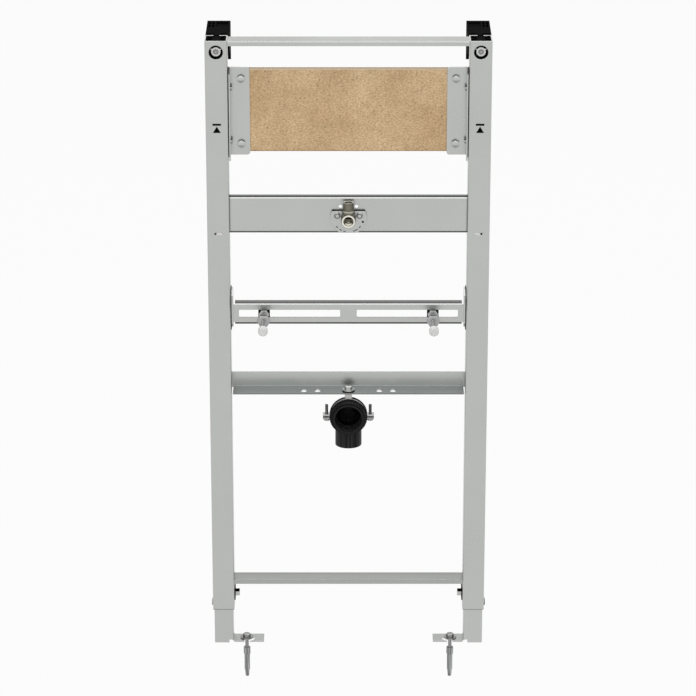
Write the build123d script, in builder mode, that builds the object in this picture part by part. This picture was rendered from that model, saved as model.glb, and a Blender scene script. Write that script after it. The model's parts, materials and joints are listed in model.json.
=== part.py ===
"""Urinal installation frame: two posts on telescoping feet, cross rails, water inlet and waste bend.

Millimetres. X runs across the frame, Y from front to back and Z up from the floor. The origin is at
floor level, midway between the two floor screws.
"""

from build123d import *
import os

os.makedirs("parts", exist_ok=True)

# Overall frame
frame_width = 520.0
frame_height = 1200.0
post_size = 41.0
post_wall = 2.0
post_corner = 3.0
post_bottom = 71.0
seat_gap = 0.2
screw_gap = 0.25
edge_round = 0.6
cross_share = 0.23
cross_depth = 1.3

# Top and bottom rails
rail_depth = 35.0
rail_height = 9.0
rail_wall = 2.0
rail_corner = 2.5
top_rail_drop = 1.0
bottom_rail_top = 133.0

# Feet and floor screws
foot_gap = 0.5
foot_wall = 2.5
foot_corner = 2.0
foot_length = 281.0
foot_relief_width = 8.0
foot_relief_height = 6.0
floor_plate_reach = 56.0
floor_bend = 4.0
floor_screw_inset = 22.7
floor_slot_width = 9.0
floor_hook_r = 17.0
floor_screw_r = 3.75
floor_washer_r = 12.3
floor_washer_height = 2.0
floor_head_across = 13.0
floor_head_height = 6.0
plug_top = -18.0
plug_collar_r = 6.5
plug_collar_height = 13.0
plug_shaft_r = 5.2
plug_shaft_height = 34.0
plug_tip_r = 4.4
plug_tip_height = 14.0
plug_slit = 1.2
plug_slope = 4.0
plug_slit_share = 0.7

# Foot lock bolts and foot brakes on the posts
lock_bolt_z = 99.0
lock_plate_size = 25.0
lock_plate_corner = 3.0
lock_plate_height = 2.0
lock_head_across = 13.0
lock_head_height = 8.0
lock_shank_r = 4.0
brake_z = 79.0
brake_width = 16.0
brake_height = 11.0
brake_proud = 2.6
brake_corner = 3.0
brake_slope = 12.0
brake_stem_r = 3.0

# Wall arms, post caps and the screws that set the arms
arm_back = 120.5
arm_start_gap = 1.0
arm_outer_inset = 0.5
arm_width = 42.5
arm_height = 40.0
arm_wall = 3.0
arm_flange_height = 72.0
arm_flange_thick = 6.0
arm_rib = 2.6
arm_pocket_depth = 7.0
arm_front_row = 9.0
arm_cell_run = 36.0
arm_cell_width = 11.0
arm_panel_depth = 3.0
arm_web = 4.0
wall_hole_r = 4.5
wall_hole_rise = 14.0
tongue_width = 10.0
tongue_height = 33.0
tongue_front = -12.0
tongue_gap = 0.4
cap_height = 46.0
cap_drop = 1.0
cap_wall = 2.4
cap_pocket_depth = 14.0
arm_screw_drop = 21.0
arm_hole_r = 13.0
arm_washer_r = 8.5
arm_washer_height = 1.6
arm_ear_width = 2.0
arm_ear_angles = (30.0, 150.0)
arm_head_r = 5.0
arm_head_height = 1.6
arm_head_slope = 18.0
arm_shank_r = 3.0
arm_shank_end = 34.0
arm_screw_sink = 2.5
arm_recess_r = 11.0

# Small clip in a slot in the front of each post
index_slot_drop = 366.7
index_slot_length = 16.0
index_slot_height = 5.4
index_clip_depth = 6.0

# Mounting board and its brackets
board_drop = 137.0
board_height = 154.0
board_thick = 18.0
board_face_y = 2.0
board_end_gap = 3.0
bracket_height = 166.0
bracket_wall = 2.5
bracket_flange = 37.8
bracket_front_y = -16.5
bracket_low_tail = 7.5
bracket_top_slope = 10.0
bracket_corner = 5.0
pad_thick = 1.5
board_bolt_inset = 23.5
board_bolt_spacing = 123.0
board_bolt_r = 4.0
board_head_across = 13.0
board_head_height = 5.3
board_nut_height = 6.5
bracket_screw_drop = 141.3
bracket_screw_spacing = 100.5
bracket_screw_y = -8.5
pan_head_r = 5.0
pan_head_height = 3.4
pan_head_slope = 14.0
pan_shank_r = 2.5
pan_shank_inside = 5.0

# Inlet rail, plate and elbow
inlet_rail_drop = 333.0
inlet_rail_height = 71.0
inlet_rail_face_y = -10.5
inlet_rail_flange = 12.0
inlet_rail_wall = 2.5
inlet_rail_bend = 4.5
inlet_drop = 336.5
inlet_plate_r = 33.0
inlet_plate_rise = 12.8
inlet_plate_fall = 29.2
inlet_plate_depth = 6.0
inlet_plate_wall = 4.0
inlet_recess = 2.0
inlet_slot_r = 27.8
inlet_slot_width = 2.2
inlet_slot_span = 9.0
inlet_slot_middles = (197.0, 222.0, 239.0, 303.0, 317.0)
inlet_sight_hole_x = 14.8
inlet_sight_hole_rise = 19.6
inlet_sight_hole_r = 3.4
inlet_pilot_angle = -17.0
inlet_pilot_r = 1.6
inlet_screw_x = 20.7
inlet_screw_rise = 4.0
inlet_head_r = 6.4
inlet_head_height = 3.6
inlet_head_slope = 20.0
inlet_shank_r = 2.4
inlet_shank_length = 15.5
elbow_mouth_y = -40.5
elbow_rim_r = 12.7
elbow_rim_length = 7.0
elbow_body_r = 13.6
elbow_body_front_y = -33.5
elbow_mouth_bore_r = 9.3
elbow_stem_y = -26.0
elbow_stem_r = 9.7
elbow_stem_rise = 32.5
elbow_socket_r = 7.6
elbow_socket_depth = 20.0
elbow_bore_r = 6.5
elbow_collar_r = 11.2
elbow_collar_slope = 3.0
elbow_collar_rise = 19.5

# Fixing rail for the bowl, its clamps and studs
fixing_drop = 526.6
fixing_height = 42.8
fixing_face_y = -10.5
fixing_flange = 15.0
fixing_wall = 3.0
fixing_bend = 4.5
fixing_tab_length = 8.0
fixing_tab_height = 33.5
fixing_slot_height = 15.0
fixing_slot_corner = 2.0
fixing_slot_inner = 15.4
fixing_slot_inset = 15.3
clamp_plate_wall = 3.0
clamp_plate_rise = 44.5
clamp_plate_fall = 29.0
clamp_plate_depth = 24.0
clamp_plate_slope = 9.0
fixing_pad_rise = 3.0
fixing_screw_y = 1.0
stud_x = 157.0
stud_r = 5.0
stud_rear_y = 14.0
stud_front_y = -104.0
bush_width = 20.0
slide_plate_width = 21.6
slide_plate_height = 30.0
slide_plate_thick = 4.0
stud_nut_across = 17.0
stud_nut_height = 8.0
collar_nut_front_y = -53.5
collar_nut_across = 21.5
collar_nut_height = 9.0
stud_cap_r = 8.9
stud_cap_front_y = -110.0
stud_cap_length = 11.0
stud_cap_round = 3.0

# Waste rail and hanger
waste_rail_drop = 681.7
waste_rail_flange = 27.9
waste_rail_depth = 41.0
waste_rail_back_y = 20.0
waste_rail_wall = 2.5
waste_rail_end_gap = 2.5
waste_hole_width = 11.0
waste_hole_length = 14.5
waste_hole_x = (58.0, 83.7)
hanger_r = 4.0
hanger_head_across = 13.0
hanger_head_height = 5.3
hanger_washer_r = 11.7
hanger_washer_height = 1.8
hanger_seat_height = 1.8

# Waste bend and the pipe clamp that carries it
waste_hang = 50.9
waste_mouth_y = -26.5
waste_lip_r = 29.6
waste_lip_length = 4.5
waste_groove_r = 32.8
waste_groove_length = 7.0
waste_groove_slope = 1.5
waste_barrel_r = 28.4
waste_barrel_length = 24.0
waste_taper_length = 6.0
waste_pipe_r = 25.0
waste_pipe_wall = 2.0
waste_socket_r = 25.3
waste_socket_depth = 17.0
waste_bend_radius = 38.0
waste_spigot_drop = 81.5
seal_chamber_r = 27.4
seal_chamber_depth = 9.5
seal_inner_r = 25.6
seal_flange_r = 28.8
seal_flange_height = 0.8
band_width = 12.0
band_wall = 2.2
lining_wall = 3.2
lining_lip = 1.3
lining_proud = 1.6
groove_gap = 0.5
band_split = 3.0
lug_margin = 7.0
lug_wall = 3.2
clamp_screw_r = 3.0
clamp_screw_rise = 18.0
clamp_screw_head_across = 10.0
clamp_screw_head_height = 4.0
boss_height = 12.0

# Places worked out from the sizes above
post_x = (frame_width - post_size) / 2
post_front = -post_size / 2
post_back = post_size / 2
inner_face = frame_width / 2 - post_size
outer_face = frame_width / 2
post_inside = post_size - 2 * post_wall
arm_screw_z = frame_height - arm_screw_drop
tongue_slot_depth = tongue_height + 2 * tongue_gap
floor_plate_end = inner_face - floor_plate_reach
floor_screw_x = inner_face - floor_screw_inset
index_slot_z = frame_height - index_slot_drop
board_centre_z = frame_height - board_drop
board_bolt_x = inner_face - board_bolt_inset
bracket_screw_centre_z = frame_height - bracket_screw_drop
inlet_rail_z = frame_height - inlet_rail_drop
inlet_z = frame_height - inlet_drop
elbow_stem_top = inlet_z + elbow_stem_rise
elbow_collar_top = inlet_z + elbow_collar_rise
fixing_z = frame_height - fixing_drop
fixing_body_end = inner_face - fixing_tab_length
fixing_slot_outer = inner_face - fixing_slot_inset
clamp_plate_top = fixing_z + clamp_plate_rise
clamp_plate_low = fixing_z - clamp_plate_fall
waste_rail_top = frame_height - waste_rail_drop
waste_z = waste_rail_top - waste_hang
groove_back_y = waste_mouth_y + waste_lip_length + waste_groove_length
hanger_y = groove_back_y + groove_gap + lining_lip + band_width / 2


def save(part, name):
    """Labels one finished piece and writes it."""
    part.label = name
    export_step(part, f"parts/{name}.step")


def save_pair(part, name):
    """Writes a right-hand piece and its mirror image on the left."""
    save(part, f"right_{name}")
    save(mirror(part, about=Plane.YZ), f"left_{name}")


def front_plane(y):
    """A plane at depth y that looks to the front, with X to the right and Z up."""
    return Plane.XZ.offset(-y)


def cross_recess(plane, span, depth):
    """Cuts a cross drive into a screw head whose top lies on the plane."""
    with BuildSketch(plane) as cross:
        Rectangle(span, cross_share * span)
        Rectangle(cross_share * span, span)
    extrude(cross.sketch, amount=-depth, mode=Mode.SUBTRACT)


# Posts: square tubes, with the holes for what passes through their walls
with BuildPart() as post:
    with BuildSketch(Plane.XY.offset(post_bottom)):
        with Locations((post_x, 0)):
            RectangleRounded(post_size, post_size, post_corner)
            RectangleRounded(post_inside, post_inside, post_corner - post_wall, mode=Mode.SUBTRACT)
    extrude(amount=frame_height - post_bottom)
    with BuildSketch(front_plane(post_front)):
        with Locations((post_x, arm_screw_z)):
            Circle(arm_hole_r)
        with Locations((post_x, index_slot_z)):
            SlotOverall(index_slot_length, index_slot_height)
    extrude(amount=-post_wall, mode=Mode.SUBTRACT)
    with BuildSketch(front_plane(post_back)):
        with Locations((post_x, frame_height)):
            Rectangle(tongue_width + 2 * tongue_gap, 2 * (cap_drop + tongue_slot_depth))
    extrude(amount=post_wall, mode=Mode.SUBTRACT)
    with BuildSketch(Plane.YZ.offset(inner_face)):
        with Locations((0, lock_bolt_z)):
            Circle(lock_shank_r + screw_gap)
        with Locations((bracket_screw_y, bracket_screw_centre_z)):
            with GridLocations(0, bracket_screw_spacing, 1, 2):
                Circle(pan_shank_r + screw_gap)
        with Locations((fixing_screw_y, fixing_z)):
            Circle(pan_shank_r + screw_gap)
    extrude(amount=post_wall, mode=Mode.SUBTRACT)
    with BuildSketch(Plane.YZ.offset(outer_face)):
        with Locations((0, brake_z)):
            Circle(brake_stem_r + screw_gap)
    extrude(amount=-post_wall, mode=Mode.SUBTRACT)
save_pair(post.part, "post")


def channel_rail(top):
    """A shallow channel between the posts, open below."""
    with BuildPart() as rail:
        with BuildSketch(Plane.YZ):
            with Locations((0, top)):
                Rectangle(rail_depth, rail_height, align=(Align.CENTER, Align.MAX))
            with Locations((0, top - rail_wall)):
                Rectangle(
                    rail_depth - 2 * rail_wall,
                    rail_height,
                    align=(Align.CENTER, Align.MAX),
                    mode=Mode.SUBTRACT,
                )
        extrude(amount=inner_face, both=True)
        crown = rail.edges().filter_by(Axis.X).group_by(Axis.Z)[-1]
        fillet(crown, rail_corner)
    return rail.part


save(channel_rail(frame_height - top_rail_drop), "top_rail")
save(channel_rail(bottom_rail_top), "bottom_rail")


# Post caps: ribbed inserts in the open tops of the posts, each with a collar in the front hole
cap_size = post_inside - 2 * seat_gap
cap_top = frame_height - cap_drop
channel_width = tongue_width + 2 * tongue_gap
channel_front = tongue_front - tongue_gap
collar_front = post_front + seat_gap
washer_seat = collar_front + arm_screw_sink + arm_head_height + arm_washer_height
pocket_width = (cap_size - channel_width) / 2 - 2 * cap_wall
pocket_length = (cap_size - 3 * cap_wall) / 2
arm_ear_end = arm_hole_r - 2 * seat_gap
arm_ear_length = arm_ear_end - arm_washer_r / 2
arm_ear_middle = arm_ear_end - arm_ear_length / 2
with BuildPart() as post_caps:
    with BuildSketch(Plane.XY.offset(cap_top)):
        with Locations((post_x, 0)):
            RectangleRounded(cap_size, cap_size, post_corner - post_wall)
    extrude(amount=-cap_height)
    with BuildSketch(Plane.XY.offset(cap_top)):
        with Locations((post_x, 0)):
            with GridLocations(channel_width + pocket_width + 2 * cap_wall, pocket_length + cap_wall, 2, 2):
                Rectangle(pocket_width, pocket_length)
    extrude(amount=-cap_pocket_depth, mode=Mode.SUBTRACT)
    with BuildSketch(Plane.XY.offset(cap_top)):
        with Locations((post_x, channel_front)):
            Rectangle(channel_width, post_size, align=(Align.CENTER, Align.MIN))
    extrude(amount=-tongue_slot_depth, mode=Mode.SUBTRACT)
    with BuildSketch(front_plane(-cap_size / 2)):
        with Locations((post_x, arm_screw_z)):
            Circle(arm_hole_r - seat_gap)
    extrude(amount=-cap_size / 2 - collar_front)
    with BuildSketch(front_plane(collar_front)):
        with Locations((post_x, arm_screw_z)):
            Circle(arm_recess_r)
            for angle in arm_ear_angles:
                with PolarLocations(arm_ear_middle, 1, start_angle=angle):
                    Rectangle(arm_ear_length + 2 * seat_gap, arm_ear_width + 2 * seat_gap)
    extrude(amount=collar_front - washer_seat, mode=Mode.SUBTRACT)
    with BuildSketch(front_plane(collar_front)):
        with Locations((post_x, arm_screw_z)):
            Circle(arm_shank_r + screw_gap)
    extrude(amount=collar_front - channel_front, mode=Mode.SUBTRACT)
    mirror(about=Plane.YZ)
save(post_caps.part, "post_caps")

# Index clips: small plugs in the slots of the post fronts
with BuildPart() as index_clips:
    with BuildSketch(front_plane(post_front)):
        for side in (-1, 1):
            with Locations((side * post_x, index_slot_z)):
                SlotOverall(index_slot_length - 2 * seat_gap, index_slot_height - 2 * seat_gap)
    extrude(amount=-index_clip_depth)
save(index_clips.part, "index_clips")


# Arm screws: washer, domed cross head and a shank that runs in the arm's tongue
arm_screw_plane = front_plane(washer_seat)
with BuildPart() as arm_screws:
    with BuildSketch(arm_screw_plane):
        for side in (-1, 1):
            with Locations((side * post_x, arm_screw_z)):
                Circle(arm_washer_r)
                for angle in arm_ear_angles:
                    with PolarLocations(arm_ear_middle, 1, start_angle=angle):
                        Rectangle(arm_ear_length, arm_ear_width)
    extrude(amount=arm_washer_height)
    with BuildSketch(arm_screw_plane.offset(arm_washer_height)):
        for side in (-1, 1):
            with Locations((side * post_x, arm_screw_z)):
                Circle(arm_head_r)
    extrude(amount=arm_head_height, taper=arm_head_slope)
    with BuildSketch(arm_screw_plane):
        for side in (-1, 1):
            with Locations((side * post_x, arm_screw_z)):
                Circle(arm_shank_r)
    extrude(amount=washer_seat - arm_shank_end)
    for side in (-1, 1):
        head_top = Plane(
            (side * post_x, washer_seat - arm_washer_height - arm_head_height, arm_screw_z),
            x_dir=(1, 0, 0),
            z_dir=(0, -1, 0),
        )
        cross_recess(head_top, 1.2 * arm_head_r, cross_depth)
save(arm_screws.part, "arm_screws")


# Wall arms: ribbed mouldings that run back from the posts to a wall flange
arm_front = post_back + arm_start_gap
arm_x = outer_face - arm_outer_inset - arm_width / 2
arm_low = frame_height - arm_height
arm_flange_front = arm_back - arm_flange_thick
arm_inside = arm_width - 2 * arm_wall
arm_run = arm_flange_front - arm_front
arm_cell_x = arm_x + arm_width / 2 - arm_wall - arm_cell_width / 2
with BuildPart() as wall_arm:
    with BuildSketch(Plane.XY.offset(arm_low)):
        with Locations((arm_x, arm_front)):
            Rectangle(arm_width, arm_run, align=(Align.CENTER, Align.MIN))
    extrude(amount=arm_height)
    with BuildSketch(front_plane(arm_flange_front)):
        with Locations((arm_x, frame_height)):
            Rectangle(arm_width, arm_flange_height, align=(Align.CENTER, Align.MAX))
    extrude(amount=-arm_flange_thick)
    # hollow underside with a spine along the middle
    with BuildSketch(Plane.XY.offset(arm_low)):
        with Locations((arm_x, arm_front + arm_wall)):
            Rectangle(arm_inside, arm_run - arm_wall, align=(Align.CENTER, Align.MIN))
            Rectangle(
                arm_rib,
                arm_run - arm_wall,
                align=(Align.CENTER, Align.MIN),
                mode=Mode.SUBTRACT,
            )
    extrude(amount=arm_height - arm_pocket_depth - arm_wall, mode=Mode.SUBTRACT)
    # gussets under the arm stiffen the flange
    for side in (-1, 1):
        with BuildSketch(Plane.YZ.offset(arm_x + side * (arm_width - arm_web) / 2)):
            with BuildLine():
                Polyline(
                    (arm_flange_front, arm_low),
                    (arm_flange_front, frame_height - arm_flange_height + arm_web),
                    (arm_flange_front - arm_height, arm_low),
                    close=True,
                )
            make_face()
        extrude(amount=arm_web / 2, both=True)
    # top face: a sunken panel beside a block of cells, then a row of slots next to the post
    panel_back = arm_flange_front - arm_wall
    with BuildSketch(Plane.XY.offset(frame_height)):
        with Locations((arm_x - arm_width / 2 + arm_wall, panel_back)):
            Rectangle(
                arm_inside - arm_cell_width - arm_wall,
                arm_cell_run,
                align=(Align.MIN, Align.MAX),
            )
    extrude(amount=-arm_panel_depth, mode=Mode.SUBTRACT)
    cell_size = (arm_cell_width - arm_rib) / 2
    cell_run = (arm_cell_run - arm_rib) / 2
    with BuildSketch(Plane.XY.offset(frame_height)):
        with Locations((arm_cell_x, panel_back - arm_cell_run / 2)):
            with GridLocations(cell_size + arm_rib, cell_run + arm_rib, 2, 2):
                Rectangle(cell_size, cell_run)
    extrude(amount=-arm_pocket_depth, mode=Mode.SUBTRACT)
    slot_width = (arm_inside - tongue_width) / 2
    with BuildSketch(Plane.XY.offset(frame_height)):
        for side in (-1, 1):
            with Locations((arm_x + side * (tongue_width + slot_width) / 2, arm_front + arm_wall)):
                Rectangle(slot_width, arm_front_row, align=(Align.CENTER, Align.MIN))
    extrude(amount=-arm_pocket_depth, mode=Mode.SUBTRACT)
    # tongue that slides in the post cap, bored for the arm screw
    with BuildSketch(Plane.XY.offset(cap_top)):
        with Locations((post_x, tongue_front)):
            Rectangle(tongue_width, arm_front - tongue_front, align=(Align.CENTER, Align.MIN))
    extrude(amount=-tongue_height)
    with BuildSketch(front_plane(tongue_front)):
        with Locations((post_x, arm_screw_z)):
            Circle(arm_shank_r + screw_gap)
    extrude(amount=tongue_front - arm_shank_end - arm_wall, mode=Mode.SUBTRACT)
    with BuildSketch(front_plane(arm_back)):
        with Locations((arm_x, frame_height - arm_flange_height + wall_hole_rise)):
            Circle(wall_hole_r)
    extrude(amount=arm_flange_thick, mode=Mode.SUBTRACT)
save_pair(wall_arm.part, "wall_arm")


# Feet: square tubes that slide in the posts, each with its inner wall bent out as a floor plate
foot_size = post_inside - 2 * foot_gap
foot_inner = post_x - foot_size / 2
plate_width = foot_size - 2 * foot_corner
foot_inside = foot_size - 2 * foot_wall
with BuildPart() as foot:
    with BuildSketch(Plane.XY):
        with Locations((post_x, 0)):
            RectangleRounded(foot_size, foot_size, foot_corner)
            Rectangle(foot_inside, foot_inside, mode=Mode.SUBTRACT)
    extrude(amount=foot_length)
    with BuildSketch(front_plane(0)):
        with Locations((foot_inner, 0)):
            Rectangle(2 * foot_relief_width, 2 * foot_relief_height)
    extrude(amount=foot_size, both=True, mode=Mode.SUBTRACT)
    with BuildSketch(front_plane(0)):
        with BuildLine():
            Line((floor_plate_end, 0), (floor_plate_end, foot_wall))
            Line((floor_plate_end, foot_wall), (foot_inner - floor_bend + foot_wall, foot_wall))
            RadiusArc(
                (foot_inner - floor_bend + foot_wall, foot_wall),
                (foot_inner, floor_bend),
                floor_bend - foot_wall,
            )
            Line((foot_inner, floor_bend), (foot_inner, foot_relief_height))
            Line((foot_inner, foot_relief_height), (foot_inner + foot_wall, foot_relief_height))
            Line((foot_inner + foot_wall, foot_relief_height), (foot_inner + foot_wall, floor_bend))
            RadiusArc(
                (foot_inner + foot_wall, floor_bend),
                (foot_inner + foot_wall - floor_bend, 0),
                -floor_bend,
            )
            Line((foot_inner + foot_wall - floor_bend, 0), (floor_plate_end, 0))
        make_face()
    extrude(amount=plate_width / 2, both=True)
    plate_end = foot.edges().filter_by(Axis.Z).group_by(Axis.X)[0]
    fillet(plate_end, foot_corner)
    # hook slot: open to the front, and swept round the screw towards the plate's end
    with BuildSketch(Plane.XY):
        with Locations((floor_screw_x, 0)):
            Circle(floor_hook_r)
            Rectangle(floor_hook_r, floor_hook_r, align=Align.MAX, mode=Mode.INTERSECT)
            Circle(floor_slot_width / 2)
            Rectangle(floor_slot_width, foot_size, align=(Align.CENTER, Align.MAX))
    extrude(amount=foot_wall, mode=Mode.SUBTRACT)
save_pair(foot.part, "foot")

# Floor screws: hex head with a washer and a shank, and a slit plug on the point
head_seat = foot_wall + floor_washer_height
plug_shaft_top = plug_top - plug_collar_height
plug_tip_top = plug_shaft_top - plug_shaft_height
plug_end = plug_tip_top - plug_tip_height
with BuildPart() as floor_screw:
    with BuildSketch(Plane.XY.offset(head_seat)):
        with Locations((floor_screw_x, 0)):
            RegularPolygon(floor_head_across / 2, 6, major_radius=False)
    extrude(amount=floor_head_height)
    fillet(floor_screw.edges().group_by(Axis.Z)[-1], edge_round)
    with BuildSketch(Plane.XY.offset(foot_wall)):
        with Locations((floor_screw_x, 0)):
            Circle(floor_washer_r)
    extrude(amount=floor_washer_height)
    with BuildSketch(Plane.XY.offset(head_seat)):
        with Locations((floor_screw_x, 0)):
            Circle(floor_screw_r)
    extrude(amount=plug_tip_top - head_seat)
save_pair(floor_screw.part, "floor_screw")

with BuildPart() as floor_plug:
    with BuildSketch(Plane.XY.offset(plug_top)):
        with Locations((floor_screw_x, 0)):
            Circle(plug_collar_r)
    extrude(amount=-plug_collar_height)
    with BuildSketch(Plane.XY.offset(plug_shaft_top)):
        with Locations((floor_screw_x, 0)):
            Circle(plug_shaft_r)
    extrude(amount=-plug_shaft_height)
    with BuildSketch(Plane.XY.offset(plug_tip_top)):
        with Locations((floor_screw_x, 0)):
            Circle(plug_tip_r)
    extrude(amount=-plug_tip_height, taper=plug_slope)
    with BuildSketch(Plane.XY.offset(plug_top)):
        with Locations((floor_screw_x, 0)):
            Circle(floor_screw_r + seat_gap)
    extrude(amount=plug_tip_top - plug_top - seat_gap, mode=Mode.SUBTRACT)
    with BuildSketch(Plane.XY.offset(plug_end)):
        with Locations((floor_screw_x, 0)):
            Rectangle(4 * plug_tip_r, plug_slit)
    extrude(amount=plug_tip_height + plug_slit_share * plug_shaft_height, mode=Mode.SUBTRACT)
save_pair(floor_plug.part, "floor_plug")

# Foot lock bolts on the inner walls of the posts, over square washer plates
lock_plate_face = inner_face - lock_plate_height
with BuildPart() as lock_plates:
    for side in (-1, 1):
        with BuildSketch(Plane.YZ.offset(side * inner_face)):
            with Locations((0, lock_bolt_z)):
                RectangleRounded(lock_plate_size, lock_plate_size, lock_plate_corner)
                Circle(lock_shank_r + screw_gap, mode=Mode.SUBTRACT)
        extrude(amount=-side * lock_plate_height)
save(lock_plates.part, "lock_plates")

with BuildPart() as lock_bolts:
    for side in (-1, 1):
        with BuildSketch(Plane.YZ.offset(side * lock_plate_face)):
            with Locations((0, lock_bolt_z)):
                RegularPolygon(lock_head_across / 2, 6, major_radius=False)
        extrude(amount=-side * lock_head_height)
        with BuildSketch(Plane.YZ.offset(side * lock_plate_face)):
            with Locations((0, lock_bolt_z)):
                Circle(lock_shank_r)
        extrude(amount=side * (lock_plate_height + post_wall))
save(lock_bolts.part, "lock_bolts")

# Foot brakes: rounded lugs pressed into the outer walls of the posts
with BuildPart() as foot_brakes:
    for side in (-1, 1):
        with BuildSketch(Plane.YZ.offset(side * outer_face)):
            with Locations((0, brake_z)):
                RectangleRounded(brake_width, brake_height, brake_corner)
        extrude(amount=side * brake_proud, taper=brake_slope)
        with BuildSketch(Plane.YZ.offset(side * outer_face)):
            with Locations((0, brake_z)):
                Circle(brake_stem_r)
        extrude(amount=-side * post_wall)
save(foot_brakes.part, "foot_brakes")


# Mounting board with its end brackets, pads and bolts
pad_face = inner_face - pad_thick
bracket_face = pad_face - bracket_wall
board_half = bracket_face - board_end_gap
flange_front_y = board_face_y - bracket_wall
bracket_reach = pad_face - bracket_flange
bracket_low = board_centre_z - bracket_height / 2
bracket_top = board_centre_z + bracket_height / 2
with BuildPart() as mounting_board:
    with BuildSketch(front_plane(board_face_y)):
        with Locations((0, board_centre_z)):
            Rectangle(2 * board_half, board_height)
            with GridLocations(2 * board_bolt_x, board_bolt_spacing, 2, 2):
                Circle(board_bolt_r + screw_gap, mode=Mode.SUBTRACT)
    extrude(amount=-board_thick)
save(mounting_board.part, "mounting_board")

with BuildPart() as board_bracket:
    with BuildSketch(front_plane(board_face_y)):
        with Locations(((bracket_reach + pad_face) / 2, board_centre_z)):
            Rectangle(pad_face - bracket_reach, bracket_height)
        with Locations((board_bolt_x, board_centre_z)):
            with GridLocations(0, board_bolt_spacing, 1, 2):
                Circle(board_bolt_r + screw_gap, mode=Mode.SUBTRACT)
    extrude(amount=bracket_wall)
    inner_corners = board_bracket.edges().filter_by(Axis.Y).group_by(Axis.X)[0]
    fillet(inner_corners, bracket_corner)
    with BuildSketch(Plane.YZ.offset(bracket_face)):
        with BuildLine():
            Polyline(
                (board_face_y, bracket_low),
                (board_face_y, bracket_top),
                (bracket_front_y, bracket_top - bracket_top_slope),
                (bracket_front_y, bracket_low - bracket_low_tail),
                (bracket_front_y + bracket_low_tail, bracket_low - bracket_low_tail),
                close=True,
            )
        make_face()
        with Locations((bracket_screw_y, bracket_screw_centre_z)):
            with GridLocations(0, bracket_screw_spacing, 1, 2):
                Circle(pan_shank_r + screw_gap, mode=Mode.SUBTRACT)
    extrude(amount=bracket_wall)
save_pair(board_bracket.part, "board_bracket")

with BuildPart() as board_pads:
    for side in (-1, 1):
        with BuildSketch(Plane.YZ.offset(side * pad_face)):
            with BuildLine():
                Polyline(
                    (board_face_y, bracket_low),
                    (board_face_y, bracket_top),
                    (bracket_front_y, bracket_top),
                    (bracket_front_y, bracket_low),
                    close=True,
                )
            make_face()
            with Locations((bracket_screw_y, bracket_screw_centre_z)):
                with GridLocations(0, bracket_screw_spacing, 1, 2):
                    Circle(pan_shank_r + screw_gap, mode=Mode.SUBTRACT)
        extrude(amount=side * pad_thick)
save(board_pads.part, "board_pads")

with BuildPart() as board_bolts:
    with BuildSketch(front_plane(flange_front_y)):
        with Locations((0, board_centre_z)):
            with GridLocations(2 * board_bolt_x, board_bolt_spacing, 2, 2):
                RegularPolygon(board_head_across / 2, 6, major_radius=False, rotation=30)
    extrude(amount=board_head_height)
    with BuildSketch(front_plane(flange_front_y)):
        with Locations((0, board_centre_z)):
            with GridLocations(2 * board_bolt_x, board_bolt_spacing, 2, 2):
                Circle(board_bolt_r)
    extrude(amount=-(bracket_wall + board_thick + board_nut_height))
    with BuildSketch(front_plane(board_face_y + board_thick)):
        with Locations((0, board_centre_z)):
            with GridLocations(2 * board_bolt_x, board_bolt_spacing, 2, 2):
                RegularPolygon(board_head_across / 2, 6, major_radius=False, rotation=30)
    extrude(amount=-board_nut_height)
save(board_bolts.part, "board_bolts")


def side_screws(face, shank_length, places):
    """Pan-head screws driven outwards through a plate whose inner side lies at face on both sides."""
    with BuildPart() as screws:
        for side in (-1, 1):
            with BuildSketch(Plane.YZ.offset(side * face)):
                with Locations(*places):
                    Circle(pan_head_r)
            extrude(amount=-side * pan_head_height, taper=pan_head_slope)
            with BuildSketch(Plane.YZ.offset(side * face)):
                with Locations(*places):
                    Circle(pan_shank_r)
            extrude(amount=side * shank_length)
    return screws.part


bracket_screw_places = [
    (bracket_screw_y, bracket_screw_centre_z + end * bracket_screw_spacing / 2) for end in (-1, 1)
]
bracket_shank = bracket_wall + pad_thick + post_wall + pan_shank_inside
save(side_screws(bracket_face, bracket_shank, bracket_screw_places), "bracket_screws")


# Inlet rail: a channel with its flanges to the back, drilled behind the inlet plate
inlet_screw_z = inlet_z + inlet_screw_rise
with BuildPart() as inlet_rail:
    with BuildSketch(Plane.YZ):
        with Locations((inlet_rail_face_y, inlet_rail_z)):
            Rectangle(inlet_rail_flange, inlet_rail_height, align=(Align.MIN, Align.CENTER))
        with Locations((inlet_rail_face_y + inlet_rail_wall, inlet_rail_z)):
            Rectangle(
                inlet_rail_flange,
                inlet_rail_height - 2 * inlet_rail_wall,
                align=(Align.MIN, Align.CENTER),
                mode=Mode.SUBTRACT,
            )
    extrude(amount=inner_face, both=True)
    fillet(inlet_rail.edges().filter_by(Axis.X).group_by(Axis.Y)[0], inlet_rail_bend)
    with BuildSketch(front_plane(inlet_rail_face_y)):
        for side in (-1, 1):
            with Locations((side * inlet_sight_hole_x, inlet_z + inlet_sight_hole_rise)):
                Circle(inlet_sight_hole_r)
            with Locations((side * inlet_screw_x, inlet_screw_z)):
                Circle(inlet_shank_r + screw_gap)
    extrude(amount=-inlet_rail_wall, mode=Mode.SUBTRACT)
save(inlet_rail.part, "inlet_rail")

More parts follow.
